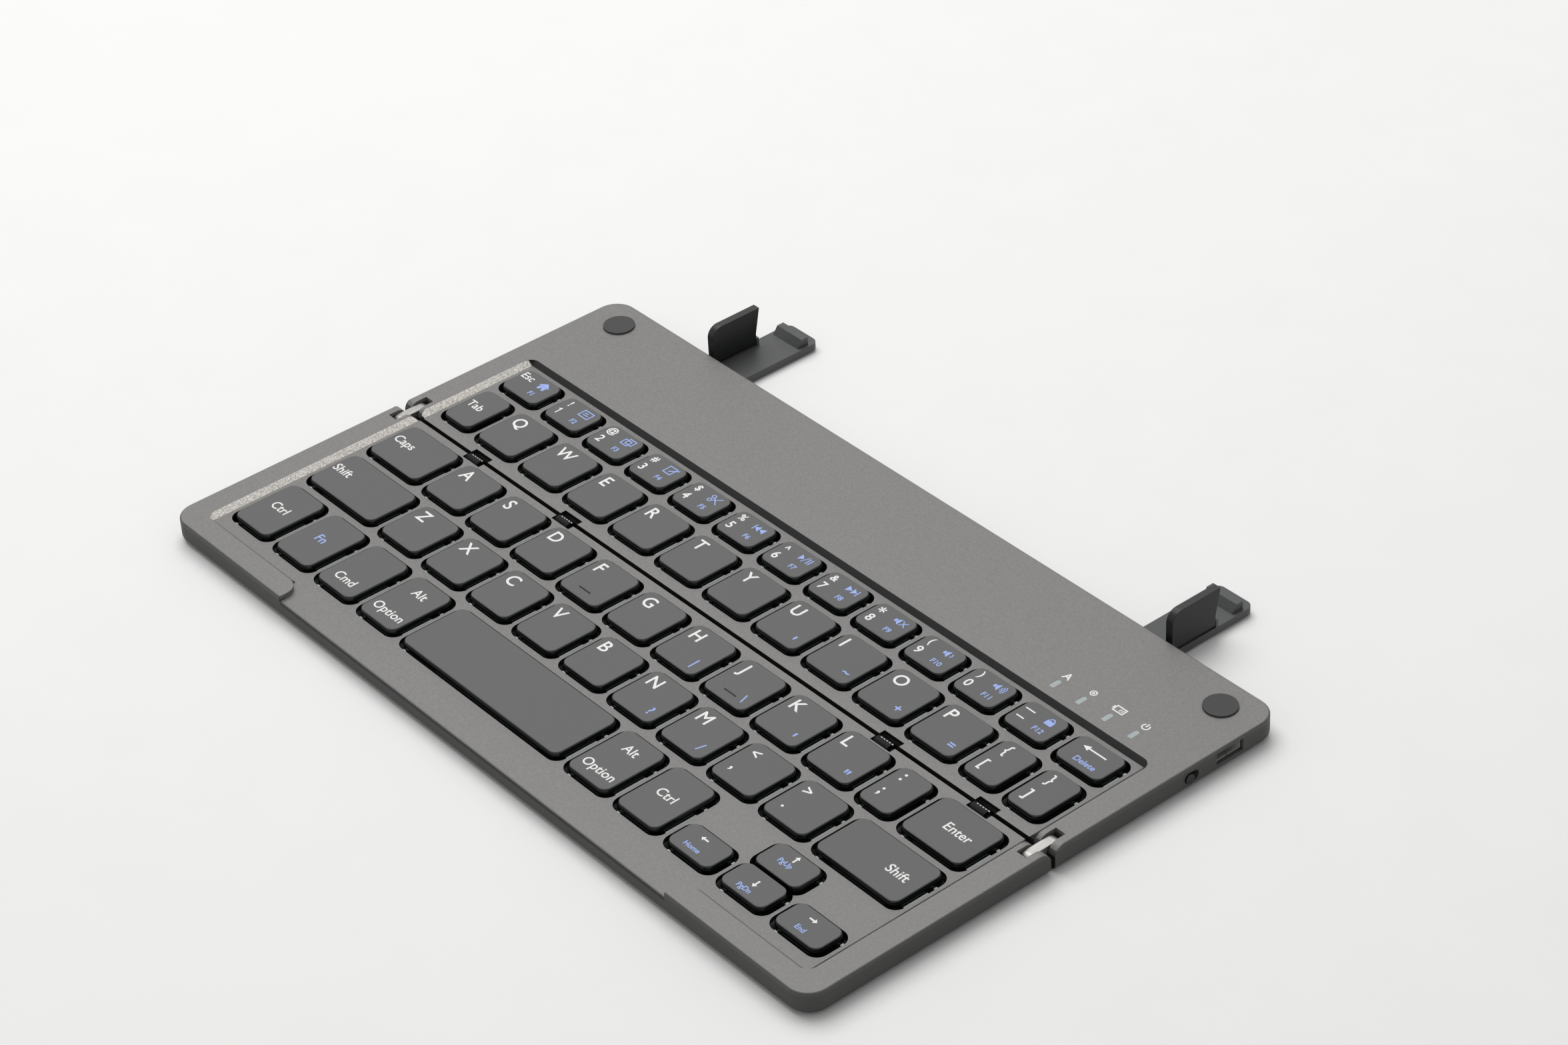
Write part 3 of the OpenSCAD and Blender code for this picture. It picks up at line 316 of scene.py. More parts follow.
def gunmetal_paint(colours):
    """Metallic lacquer on moulded ABS, sprayed: satin, with fine aluminium flake.

    The left bevel beside the keys carries a painted highlight: a pale sparkling colour,
    with a lower roughness. The right one, the one in front of the rear strip, the wells and
    the faces in the fold are near black as painted shade, and a band along the lip goes
    towards the walls' colour as painted shade.
    The flake is drawn at 0.3 mm, coarser than the real 0.05 mm, so that it shows.
    """
    material = finish("satin_gunmetal_lacquer_painted_light_and_shade", colours.deck, 0.13, (0.3, 0.3, 0.3), 0.5,
                      metallic=0.2, relief=0.006, specular=0.35, cells=True)
    tree = material.node_tree
    shader = next(n for n in tree.nodes if n.type == "BSDF_PRINCIPLED")
    grains = next(n for n in tree.nodes if n.label == "grain colour").outputs[2]
    gloss = shader.inputs["Roughness"].links[0].from_socket
    place = add(tree, "ShaderNodeTexCoord").outputs["Object"]
    split = add(tree, "ShaderNodeSeparateXYZ", {0: place})
    across, along, height = split.outputs
    near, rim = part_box("front_top_cover")[0].y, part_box("front_top_cover")[1].z
    inner, outer = SIDE_BEVEL
    slope = band(tree, height, rim - SLOPE_RISE, rim - 0.01 * MM)
    beside = band(tree, along, near + 3 * MM, FOLD_Y + REAR_BEVEL[1])
    # painted highlight: the pale sparkling colour on the left bevel
    bright = mask_of(tree, [slope, beside, band(tree, across, -outer, -inner)])
    # painted shade: near black on the rear bevel, the right bevel, the wells and the faces in the fold
    shadowed = [
        mask_of(tree, [slope, band(tree, across, -outer, outer),
                       band(tree, along, FOLD_Y + REAR_BEVEL[0], FOLD_Y + REAR_BEVEL[1])]),
        mask_of(tree, [slope, beside, band(tree, across, inner, outer)]),
        band(tree, height, -MM, rim - SLOPE_RISE - 0.04 * MM),
        fold_edge(tree, along)]
    dark = shadowed[0]
    for mask in shadowed[1:]:
        dark = add(tree, "ShaderNodeMath", {0: dark, 1: mask}, operation="MAXIMUM").outputs[0]
    sparks = add(tree, "ShaderNodeTexVoronoi", {"Vector": place, "Scale": 1 / (0.24 * MM)})
    level = add(tree, "ShaderNodeSeparateColor", {0: sparks.outputs["Color"]}).outputs[1]
    spark = add(tree, "ShaderNodeMix", {0: level, 6: shaded(colours.bevel, 0.65),
                7: shaded(colours.bevel, 1.4)}, data_type="RGBA")
    # painted shade: a band along the lip, just inside the outline, goes towards the walls' colour
    outward = add(tree, "ShaderNodeVectorMath", {0: add(tree, "ShaderNodeVectorMath", {
        0: place, 1: (0, FOLD_Y, 0)}, operation="SUBTRACT").outputs[0]}, operation="ABSOLUTE")
    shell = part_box("front_bottom_cover")
    middle = (shell[1].x - BODY_CORNER, FOLD_Y - shell[0].y - BODY_CORNER, 1)
    past = add(tree, "ShaderNodeVectorMath", {0: add(tree, "ShaderNodeVectorMath", {
        0: outward.outputs[0], 1: middle}, operation="SUBTRACT").outputs[0], 1: (0, 0, 0)},
        operation="MAXIMUM")
    reach = add(tree, "ShaderNodeVectorMath", {0: past.outputs[0]}, operation="LENGTH")
    lip = add(tree, "ShaderNodeMapRange", {0: reach.outputs["Value"],
              1: BODY_CORNER - LIP[0], 2: BODY_CORNER - LIP[1]}).outputs[0]
    edged = add(tree, "ShaderNodeMix", {0: lip, 6: grains, 7: shaded(colours.walls, 1.1)},
                data_type="RGBA")
    first = add(tree, "ShaderNodeMix", {0: bright, 6: edged.outputs[2], 7: spark.outputs[2]},
                data_type="RGBA")
    second = add(tree, "ShaderNodeMix", {0: dark, 6: first.outputs[2],
                 7: shaded(colours.gap, 1)}, data_type="RGBA")
    tree.links.new(second.outputs[2], shader.inputs["Base Color"])
    left_bevel_gloss = add(tree, "ShaderNodeMix", {0: bright, 2: gloss, 3: 0.3}, data_type="FLOAT")
    tree.links.new(left_bevel_gloss.outputs[0], shader.inputs["Roughness"])
    return material


def charging_socket_steel():
    """Nickel-plated steel, stamped: bright shell round a black moulded tongue."""
    material = finish("plated_steel_socket", linear("#e2e2df"), 0.03, (0.6, 0.6, 0.6), 0.3,
                      metallic=0.7)
    tree = material.node_tree
    shader = next(n for n in tree.nodes if n.type == "BSDF_PRINCIPLED")
    grains = next(n for n in tree.nodes if n.label == "grain colour").outputs[2]
    low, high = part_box("usb_port")
    middle = (low + high) / 2
    split = add(tree, "ShaderNodeSeparateXYZ",
                {0: add(tree, "ShaderNodeTexCoord").outputs["Object"]})
    tongue = mask_of(tree, [
        band(tree, split.outputs[0], low.x + 0.45 * MM, high.x - 0.4 * MM),
        band(tree, split.outputs[1], middle.y - 2.55 * MM, middle.y + 2.55 * MM),
        band(tree, split.outputs[2], middle.z - 0.1 * MM, middle.z + 0.6 * MM)])
    mixed = add(tree, "ShaderNodeMix", {0: tongue, 6: grains, 7: shaded(linear("#141414"), 1)},
                data_type="RGBA")
    tree.links.new(mixed.outputs[2], shader.inputs["Base Color"])
    metal = add(tree, "ShaderNodeMath", {0: 0.7, 1: tongue}, operation="SUBTRACT",
                use_clamp=True)
    tree.links.new(metal.outputs[0], shader.inputs["Metallic"])
    return material


def keycap_finishes(colours):
    """The four finishes of a printed key cap, made once."""
    names = ("satin_lacquered_abs_top", "polished_black_abs_side", "pad_printed_white_ink",
             "pad_printed_blue_ink")
    if names[0] in bpy.data.materials:
        return [bpy.data.materials[name] for name in names]
    return [
        # ABS cap with a sprayed soft satin lacquer: even, with a very fine grain
        finish(names[0], colours.key_top, 0.035, (0.25, 0.25, 0.25), 0.5,
               relief=0.003, specular=0.35, cells=True),
        # the same ABS, polished and bare on the sides: piano black with sharp highlights
        finish(names[1], colours.key_side, 0.2, (1.2, 1.2, 1.2), 0.14,
               relief=0.001, specular=0.3),
        # pad-printed ink, white: flat and slightly chalky
        finish(names[2], colours.white_ink, 0.02, (0.2, 0.2, 0.2), 0.55),
        # pad-printed ink, blue
        finish(names[3], colours.blue_ink, 0.03, (0.2, 0.2, 0.2), 0.55),
    ]


TOP, SIDE, WHITE, BLUE = range(4)


# ---- Modelling ----


def paint(node, material):
    """Gives a CAD node its finish."""
    slots = frame["nodes"][node].data.materials
    slots.clear()
    slots.append(material)


def make_piece(bm, name, body, materials, replaced=()):
    """Turns a bmesh into a finished piece that rides on a body."""
    if not bm.faces:
        raise RuntimeError(f"{name} has no faces")
    mesh = bpy.data.meshes.new(name)
    bm.to_mesh(mesh)
    bm.free()
    piece = bpy.data.objects.new(name, mesh)
    bpy.context.scene.collection.objects.link(piece)
    for material in materials:
        mesh.materials.append(material)
    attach(piece, body)
    if replaced:
        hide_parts(*replaced)
    return piece


def softened(node, name, material, width, steps=3):
    """A copy of a CAD node with its sharp edges rounded, which stands for the node."""
    bm = bmesh.new()
    bm.from_mesh(frame["nodes"][node].data)
    bmesh.ops.remove_doubles(bm, verts=bm.verts, dist=0.002 * MM)
    bmesh.ops.dissolve_limit(bm, angle_limit=math.radians(1), verts=bm.verts, edges=bm.edges)
    sharp = [e for e in bm.edges
             if len(e.link_faces) == 2 and e.calc_face_angle() > math.radians(35)]
    bmesh.ops.bevel(bm, geom=sharp, offset=width, offset_type="OFFSET", affect="EDGES",
                    segments=steps, profile=0.5, material=-1, clamp_overlap=True)
    for face in bm.faces:
        face.smooth = face.calc_area() < 2e-6
        face.material_index = 0
    return make_piece(bm, name, BODY_OF[node], [material], [node])


def new_faces(bm, before):
    """The faces made since the set before was taken."""
    return [f for f in bm.faces if f not in before]


def block(bm, low, high, round_by=0.0, slot=0):
    """Adds a block between two corners, with its edges rounded."""
    before = set(bm.faces)
    low, high = Vector(low), Vector(high)
    made = bmesh.ops.create_cube(bm, size=1, matrix=Matrix.Translation((low + high) / 2)
                                 @ Matrix.Diagonal((*(high - low), 1)))
    if round_by:
        edges = {e for v in made["verts"] for e in v.link_edges}
        bmesh.ops.bevel(bm, geom=list(edges), offset=round_by, offset_type="OFFSET",
                        affect="EDGES", segments=1, profile=0.5, material=-1)
    for face in new_faces(bm, before):
        face.material_index = slot


def keycap(bm, left, near, width, depth, foot, top, sizes):
    """Adds one cap: a skirt, leaning sides and a flat top inside a rounded edge, on a stem."""
    before = set(bm.faces)
    low = foot + sizes.skirt_foot
    shoulder = top - sizes.skirt_top
    flare = sizes.flare
    made = bmesh.ops.create_cube(
        bm, size=1,
        matrix=Matrix.Translation((left + width / 2, near + depth / 2, (low + shoulder) / 2))
        @ Matrix.Diagonal((width + 2 * flare, depth + 2 * flare, shoulder - low, 1)))
    uprights = {e for v in made["verts"] for e in v.link_edges
                if abs(e.verts[0].co.z - e.verts[1].co.z) > 1e-6}
    bmesh.ops.bevel(bm, geom=list(uprights), offset=sizes.corner + flare,
                    offset_type="OFFSET", affect="EDGES", segments=sizes.corner_steps,
                    profile=0.5, material=-1)
    face = next(f for f in new_faces(bm, before) if f.normal.z > 0.9)
    lean = (flare - 0.06 * MM, sizes.skirt_top - sizes.slope_top)
    shoulder_round = (0.1 * MM, sizes.slope_top * 0.6)
    top_round = (sizes.edge - 0.04 * MM, sizes.slope_top * 0.4)
    for inwards, rise in (lean, shoulder_round, top_round):
        bmesh.ops.inset_region(bm, faces=[face], thickness=inwards, depth=rise,
                               use_even_offset=True, use_boundary=True)
    for made_face in new_faces(bm, before):
        made_face.material_index = SIDE
        made_face.smooth = abs(made_face.normal.z) < 0.98
    face.material_index = TOP
    face.smooth = False
    for edge in face.edges:
        for beside in edge.link_faces:
            beside.material_index = TOP
    stem_top = low + 0.4 * MM
    before = set(bm.faces)
    bmesh.ops.create_cone(
        bm, cap_ends=True, segments=16, radius1=sizes.stem_radius, radius2=sizes.stem_radius,
        depth=stem_top - foot,
        matrix=Matrix.Translation((left + width / 2, near + depth / 2, (foot + stem_top) / 2)))
    for made_face in new_faces(bm, before):
        made_face.material_index = SIDE


# ---- Print ----


def word_mesh(words, height, legends):
    """Words as a thin mesh in millimetres, with their height set by the capitals."""
    curve = bpy.data.curves.new("print", "FONT")
    curve.body = words
    curve.size = height
    curve.bevel_depth = (legends.weight if len(words) == 1 else legends.word_weight) / MM
    curve.bevel_resolution = 0
    curve.resolution_u = 5
    text = bpy.data.objects.new("print", curve)
    mesh = bpy.data.meshes.new_from_object(text)
    mesh.transform(Matrix.Diagonal((1, 1, legends.ink / MM / curve.bevel_depth, 1)))
    bpy.data.objects.remove(text)
    bpy.data.curves.remove(curve)
    return mesh


def capital_share(legends):
    """Height of a capital as a share of the type size."""
    mesh = word_mesh("H", 10, legends)
    ys = [v.co.y for v in mesh.vertices]
    bpy.data.meshes.remove(mesh)
    return (max(ys) - min(ys) - 2 * legends.weight / MM) / 10


def print_words(bm, words, slot, how, x, y, height, key, legends, share):
    """Prints words on a key; x and y are millimetres from the key's left and back edges.

    how is left, centre or right for a word whose capitals start at y, or mark for a sign
    whose middle is at x and y. A centred word's x is from the key's middle.
    """
    left, near, width, depth, top = key
    mesh = word_mesh(words, height / share, legends)
    xs = [v.co.x for v in mesh.vertices]
    ys = [v.co.y for v in mesh.vertices]
    if how == "mark":
        shift = (x - (min(xs) + max(xs)) / 2, -y - (min(ys) + max(ys)) / 2)
    else:
        start = {"left": x - min(xs), "right": width / MM - x - max(xs),
                 "centre": width / MM / 2 + x - (min(xs) + max(xs)) / 2}[how]
        shift = (start, -y - height)
    place = (Matrix.Translation((left, near + depth, top)) @ Matrix.Scale(MM, 4)
             @ Matrix.Translation((*shift, 0)))
    mesh.transform(place)
    before = set(bm.faces)
    bm.from_mesh(mesh)
    bpy.data.meshes.remove(mesh)
    for face in new_faces(bm, before):
        face.material_index = slot
        face.smooth = False


def thicken(bm, faces, ink, slot):
    """Gives flat printed faces their thickness and their ink."""
    before = set(bm.faces)
    made = bmesh.ops.extrude_face_region(bm, geom=faces)
    raised = [g for g in made["geom"] if isinstance(g, bmesh.types.BMVert)]
    bmesh.ops.translate(bm, vec=(0, 0, 2 * ink), verts=raised)
    changed = [f for f in faces if f.is_valid] + new_faces(bm, before)
    bmesh.ops.recalc_face_normals(bm, faces=changed)
    for face in changed:
        face.material_index = slot
        face.smooth = False


def print_sign(bm, shapes, slot, x, y, height, ink, size=1.0):
    """Prints a drawn sign round x, y; its shapes are in millimetres, times its size.

    Each shape stands 3 microns above the last, so that no two faces coincide.

    A plate is a list of corners, a bar is two ends and a width, and a ring is its centre,
    radius, width, first angle and sweep.
    """
    unit = size * MM
    for kind, *values in shapes:
        height += 0.003 * MM
        before = set(bm.faces)
        if kind == "plate":
            corners = [bm.verts.new((x + a * unit, y + b * unit, height - ink))
                       for a, b in values[0]]
            bm.faces.new(corners)
        elif kind == "bar":
            ax, ay, bx, by, wide = values
            along = Vector((bx - ax, by - ay)).normalized() * wide / 2
            across = Vector((-along.y, along.x))
            ends = [Vector((ax, ay)) - along, Vector((bx, by)) + along]
            corners = [ends[0] + across, ends[0] - across, ends[1] - across, ends[1] + across]
            bm.faces.new([bm.verts.new((x + c.x * unit, y + c.y * unit, height - ink))
                          for c in corners])
        else:
            cx, cy, radius, wide, first, sweep = values
            centre = Vector((x + cx * unit, y + cy * unit, height - ink))
            turn = Matrix.Rotation(math.radians(first), 3, "Z")
            ends = [bm.verts.new(centre + turn @ Vector((r * unit, 0, 0)))
                    for r in (radius - wide / 2, radius + wide / 2)]
            edge = bm.edges.new(ends)
            bmesh.ops.spin(bm, geom=[*ends, edge], cent=centre, axis=(0, 0, 1),
                           angle=math.radians(sweep), steps=max(4, round(abs(sweep) / 24)),
                           use_merge=sweep == 360, use_duplicate=False)
        thicken(bm, new_faces(bm, before), ink, slot)


def frame_sign(x0, y0, x1, y1, wide=0.22):
    """The outline of a rectangle as four bars."""
    return [("bar", x0, y0, x1, y0, wide), ("bar", x1, y0, x1, y1, wide),
            ("bar", x1, y1, x0, y1, wide), ("bar", x0, y1, x0, y0, wide)]


SPEAKER = [("plate", [(-1.3, -0.35), (-0.8, -0.35), (-0.8, 0.35), (-1.3, 0.35)]),
           ("plate", [(-0.72, -0.35), (-0.1, -0.85), (-0.1, 0.85), (-0.72, 0.35)])]
SIGNS = {
    "house": [("plate", [(-1.35, 0), (1.35, 0), (0, 1.15)]),
              ("plate", [(-0.85, -1.05), (-0.25, -1.05), (-0.25, -0.08), (-0.85, -0.08)]),
              ("plate", [(0.25, -1.05), (0.85, -1.05), (0.85, -0.08), (0.25, -0.08)]),
              ("plate", [(-0.25, -0.55), (0.25, -0.55), (0.25, -0.08), (-0.25, -0.08)])],
    "window": frame_sign(-1.2, -0.9, 1.2, 0.9) + [("bar", -0.6, -0.2, 0.6, -0.2, 0.2),
                                                  ("bar", -0.6, 0.3, 0.2, 0.3, 0.2)],
    "pages": frame_sign(-1.1, -0.9, 0.5, 0.5) + frame_sign(-0.4, -0.4, 1.2, 1.0),
    "note": frame_sign(-1.1, -0.95, 0.7, 0.95) + [("bar", -0.2, -0.3, 1.2, 0.9, 0.26)],
    "scissors": [("bar", -0.35, -0.35, 1.1, 0.9, 0.2), ("bar", -0.35, 0.35, 1.1, -0.9, 0.2),
                 ("ring", -0.8, -0.55, 0.38, 0.2, 0, 360),
                 ("ring", -0.8, 0.55, 0.38, 0.2, 0, 360)],
    "back": [("bar", -1.25, -0.65, -1.25, 0.65, 0.22),
             ("plate", [(-1.1, 0), (-0.05, -0.75), (-0.05, 0.75)]),
             ("plate", [(0.05, 0), (1.2, -0.75), (1.2, 0.75)])],
    "play": [("plate", [(-1.35, -0.75), (-0.35, 0), (-1.35, 0.75)]),
             ("bar", -0.35, -0.8, 0.3, 0.8, 0.18), ("bar", 0.7, -0.65, 0.7, 0.65, 0.24),
             ("bar", 1.25, -0.65, 1.25, 0.65, 0.24)],
    "forward": [("bar", 1.25, -0.65, 1.25, 0.65, 0.22),
                ("plate", [(1.1, 0), (0.05, 0.75), (0.05, -0.75)]),
                ("plate", [(-0.05, 0), (-1.2, 0.75), (-1.2, -0.75)])],
    "mute": SPEAKER + [("bar", 0.3, -0.6, 1.3, 0.6, 0.2), ("bar", 0.3, 0.6, 1.3, -0.6, 0.2)],
    "quieter": SPEAKER + [("ring", -0.1, 0, 0.7, 0.2, -45, 90)],
    "louder": SPEAKER + [("ring", -0.1, 0, r, 0.18, -45, 90) for r in (0.55, 0.95, 1.35)],
    "lock": [("plate", [(-0.8, -1.0), (0.8, -1.0), (0.8, 0.15), (-0.8, 0.15)]),
             ("ring", 0, 0.2, 0.5, 0.22, 0, 180)],
    "to_left": [("plate", [(-1.1, 0), (-0.25, -0.7), (-0.25, 0.7)]),
                ("bar", -0.2, 0, 0.9, 0, 0.42)],
    "to_right": [("plate", [(1.1, 0), (0.25, 0.7), (0.25, -0.7)]),
                 ("bar", 0.2, 0, -0.9, 0, 0.42)],
    "upwards": [("plate", [(0, 1.1), (-0.7, 0.25), (0.7, 0.25)]),
                ("bar", 0, 0.2, 0, -0.9, 0.42)],
    "downwards": [("plate", [(0, -1.1), (0.7, -0.25), (-0.7, -0.25)]),
                  ("bar", 0, -0.2, 0, 0.9, 0.42)],
    "delete": [("plate", [(-3.4, 0), (-1.6, -0.85), (-1.6, 0.85)]),
               ("bar", -1.6, 0, 3.2, 0, 0.42)],
    "one": [("bar", 0.05, -1.05, 0.05, 1.0, 0.34), ("bar", 0.05, 1.02, -0.5, 0.62, 0.3)],
    "dash": [("bar", -0.95, 0, 0.95, 0, 0.36)],
    "low_dash": [("bar", -1.25, 0, 1.25, 0, 0.36)],
    "oval": [("ring", 0, 0, 0.75, 0.3, 0, 360), ("ring", 0, 0, 0.2, 0.3, 0, 360)],
    "cell": frame_sign(-1.3, -0.85, 1.5, 0.85, 0.34)
    + [("bar", -1.7, -0.3, -1.7, 0.3, 0.34), ("bar", 0.2, -0.3, 0.4, 0.3, 0.3),
       ("bar", 0.85, -0.3, 1.05, 0.3, 0.3)],
    "power": [("ring", 0, 0, 0.9, 0.32, 125, 290), ("bar", 0, 0.1, 0, 1.05, 0.32)],
}

# Words and signs of the keys that aren't plain letters: what, ink, how, x, y and height. A
# drawn sign has its own size, and its height is 0.
LEGENDS = {
    "key_caps_lock": [("Caps", WHITE, "left", 0.95, 4.75, 2.4)],
    "key_shift_left": [("Shift", WHITE, "left", 0.65, 4.95, 2.4)],
    "key_enter": [("Enter", WHITE, "left", 6.85, 5.45, 2.4)],
    "key_shift_right": [("Shift", WHITE, "right", 3.35, 5.65, 2.4)],
    "key_ctrl_left": [("Ctrl", WHITE, "centre", -0.4, 6.9, 2.4)],
    "key_fn": [("Fn", BLUE, "centre", -0.2, 7.0, 2.4)],
    "key_cmd": [("Cmd", WHITE, "centre", -0.3, 11.8, 2.4)],
    "key_alt_left": [("Alt", WHITE, "centre", 0, 3.3, 2.4),
                     ("Option", WHITE, "centre", 0, 11.9, 2.4)],
    "key_alt_right": [("Alt", WHITE, "centre", 0, 3.3, 2.4),
                      ("Option", WHITE, "centre", 0, 11.9, 2.4)],
    "key_ctrl_right": [("Ctrl", WHITE, "centre", -0.2, 7.0, 2.4)],
    "key_semicolon": [(":", WHITE, "mark", 2.7, 3.0, 3.4), (";", WHITE, "mark", 2.7, 9.4, 3.2)],
    "key_comma": [("<", WHITE, "mark", 3.2, 3.2, 2.8), (",", WHITE, "mark", 3.0, 10.2, 3.2)],
    "key_period": [(">", WHITE, "mark", 3.2, 3.2, 2.8), (".", WHITE, "mark", 3.0, 10.2, 3.2)],
    "key_left": [("to_left", WHITE, "sign", -0.7, 2.3, 0),
                 ("Home", BLUE, "centre", -0.7, 5.1, 1.3)],
    "key_right": [("to_right", WHITE, "sign", -0.5, 2.35, 0),
                  ("End", BLUE, "centre", -0.5, 5.1, 1.3)],
    "key_up": [("upwards", WHITE, "sign", 0.1, 1.9, 0), ("PgUp", BLUE, "centre", -0.7, 3.5, 1.3)],
    "key_down": [("downwards", WHITE, "sign", 0.1, 3.6, 0),
                 ("PgDn", BLUE, "centre", -0.7, 5.4, 1.3)],
}
SECOND_MARKS = {"h": "|", "j": "\\", "k": "'", "l": '"', "n": "?", "m": "/",
                "u": "'", "i": "~", "o": "+", "p": "="}
QUOTES = ("'", '"')
NUMBER_SIGNS = ["house", "window", "pages", "note", "scissors", "back", "play", "forward",
                "mute", "quieter", "louder", "lock"]


def letter_legends(letter, height):
    """A capital at the upper left, and the second sign at the lower right if there is one."""
    made = [(letter.upper(), WHITE, "left", 1.8, 1.7, height)]
    if letter in SECOND_MARKS:
        mark = SECOND_MARKS[letter]
        made.append((mark, BLUE, "mark", 10.4, 10.3, 3.3 if mark in QUOTES else 2.4))
    return made


def number_legends(index):
    """Legends of one key of the number row, counted from the left."""
    if index == 12:
        return [("delete", WHITE, "sign", -0.55, 2.9, 0), ("Delete", BLUE, "left", 4.2, 6.1, 1.55)]
    made = [(NUMBER_SIGNS[index], BLUE, "row sign", 8.5, 2.6, 0),
            (f"F{index + 1}", BLUE, "mark", 8.4, 6.4, 1.4)]
    if index == 0:
        return made + [("Esc", WHITE, "left", 0.6, 1.4, 2.2)]
    if index == 11:
        return made + [("low_dash", WHITE, "left sign", 2.5, 2.9, 0),
                       ("dash", WHITE, "left sign", 2.5, 6.0, 0)]
    upper = "!@#$%^&*()"[index - 1]
    made.append((upper, WHITE, "mark", 2.3, 2.3, 3.0 if upper == "*" else 2.0))
    if index == 1:
        return made + [("one", WHITE, "left sign", 2.3, 6.0, 0)]
    return made + [("1234567890"[index - 1], WHITE, "mark", 2.3, 6.0, 2.4)]


def print_key(bm, legends_of_key, key, legends, share):
    """Prints all legends of one key."""
    left, near, width, depth, top = key
    for words, ink, how, x, y, height in legends_of_key:
        if how.endswith("sign"):
            start = left + (width / 2 if how == "sign" else 0)
            print_sign(bm, SIGNS[words], ink, start + x * MM, near + depth - y * MM, top,
                       legends.ink, legends.row_sign if how == "row sign" else 1.0)
        else:
            print_words(bm, words, ink, how, x, y, height, key, legends, share)


def front_keys():
    """The names of the keys that move on their own."""
    return sorted(n for n in frame["nodes"] if n.startswith("key_"))


def key_outline(node, flare):
    """A key node's left and near edge, width, depth and top, without its skirt's flare."""
    low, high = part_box(node)
    return (low.x + flare, low.y + flare, high.x - low.x - 2 * flare,
            high.y - low.y - 2 * flare, high.z)


def row_outlines(node, caps):
    """The outlines of the keys in one fixed row, from left to right."""
    left, near, width, depth, top = key_outline(node, caps.flare)
    if node == "number_row_keys":
        first, last, gap, count = [caps.escape_width], [caps.delete_width], caps.number_gap, 11
    else:
        first, last, gap, count = [caps.tab_width], [caps.bracket_width] * 2, caps.key_gap, 10
    spare = width - sum(first + last) - gap * (count + len(last))
    widths = first + [spare / count] * count + last
    made = []
    for wide in widths:
        made.append((left, near, wide, depth, top))
        left += wide + gap
    return made


# ---- Operators ----


class KEYBOARD_OT_covers(bpy.types.Operator):
    """Paint the upper covers, the lower covers and what is set in them"""

    bl_idname = "keyboard.covers"
    bl_label = "Covers"

    def execute(self, context):
        colours = context.scene.keyboard_settings.colours
        lacquer = gunmetal_paint(colours)
        walls = moulded_walls(colours)
        # silicone rubber pads, moulded: matt, slightly dusty
        rubber = finish("moulded_silicone_pad", colours.pads, 0.1, (0.6, 0.6, 0.6), 0.7,
                        relief=0.005)
        # polycarbonate light guides, moulded and milky
        milky = finish("milky_polycarbonate", colours.lenses, 0.06, (0.8, 0.8, 0.8), 0.5)
        for node in ("rear_top_cover", "front_top_cover"):
            paint(node, lacquer)
        for node in ("rear_bottom_cover", "front_bottom_cover"):
            paint(node, walls)
        paint("corner_pads", rubber)
        paint("indicator_lenses", milky)
        return {"FINISHED"}


class KEYBOARD_OT_front_keycaps(bpy.types.Operator):
    """Make the printed caps of the front half, each riding on its own key"""

    bl_idname = "keyboard.front_keycaps"
    bl_label = "Front key caps"

    def execute(self, context):
        settings = context.scene.keyboard_settings
        caps, legends = settings.caps, settings.legends
        materials = keycap_finishes(settings.colours)
        share = capital_share(legends)
        for node in front_keys():
            key = key_outline(node, caps.flare)
            bm = bmesh.new()
            keycap(bm, *key[:4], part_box(node)[0].z, key[4], caps)
            letter = node.removeprefix("key_")
            of_key = LEGENDS.get(node)
            if of_key is None:
                of_key = [] if node == "key_space" else letter_legends(letter, legends.letter / MM)
            print_key(bm, of_key, key, legends, share)
            if letter in ("f", "j"):
                middle = (key[0] + key[2] / 2, key[1] + key[3] - 11.0 * MM)
                block(bm, (middle[0] - legends.bar_length / 2, middle[1] - legends.bar_width / 2,
                           key[4] - 0.1 * MM),
                      (middle[0] + legends.bar_length / 2, middle[1] + legends.bar_width / 2,
                       key[4] + 0.14 * MM), 0.06 * MM, SIDE)
            make_piece(bm, "cap_" + letter, BODY_OF[node], materials, [node])
        return {"FINISHED"}


class KEYBOARD_OT_rear_keycaps(bpy.types.Operator):
    """Make the printed caps of the number row and the tab row"""

    bl_idname = "keyboard.rear_keycaps"
    bl_label = "Rear key caps"

    def execute(self, context):
        settings = context.scene.keyboard_settings
        caps, legends = settings.caps, settings.legends
        materials = keycap_finishes(settings.colours)
        share = capital_share(legends)
        tab_row = [[("Tab", WHITE, "centre", -1.3, 5.3, 2.3)]]
        tab_row += [letter_legends(letter, legends.letter / MM) for letter in "qwertyuiop"]
        tab_row += [[(upper, WHITE, "mark", 2.9, 3.3, 2.8), (lower, WHITE, "mark", 2.6, 9.7, 2.8)]
                    for upper, lower in ("{[", "}]")]
        number_row = [number_legends(i) for i in range(13)]
        for node, row in (("number_row_keys", number_row), ("tab_row_keys", tab_row)):
            bm = bmesh.new()
            outlines = row_outlines(node, caps)
            if len(outlines) != len(row):
                raise RuntimeError(f"{node} has {len(outlines)} keys for {len(row)} legends")
            for key, of_key in zip(outlines, row):
                keycap(bm, *key[:4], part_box(node)[0].z, key[4], caps)
                print_key(bm, of_key, key, legends, share)
            make_piece(bm, node.replace("_keys", "_caps"), BODY_OF[node],
                       materials, [node])
        return {"FINISHED"}


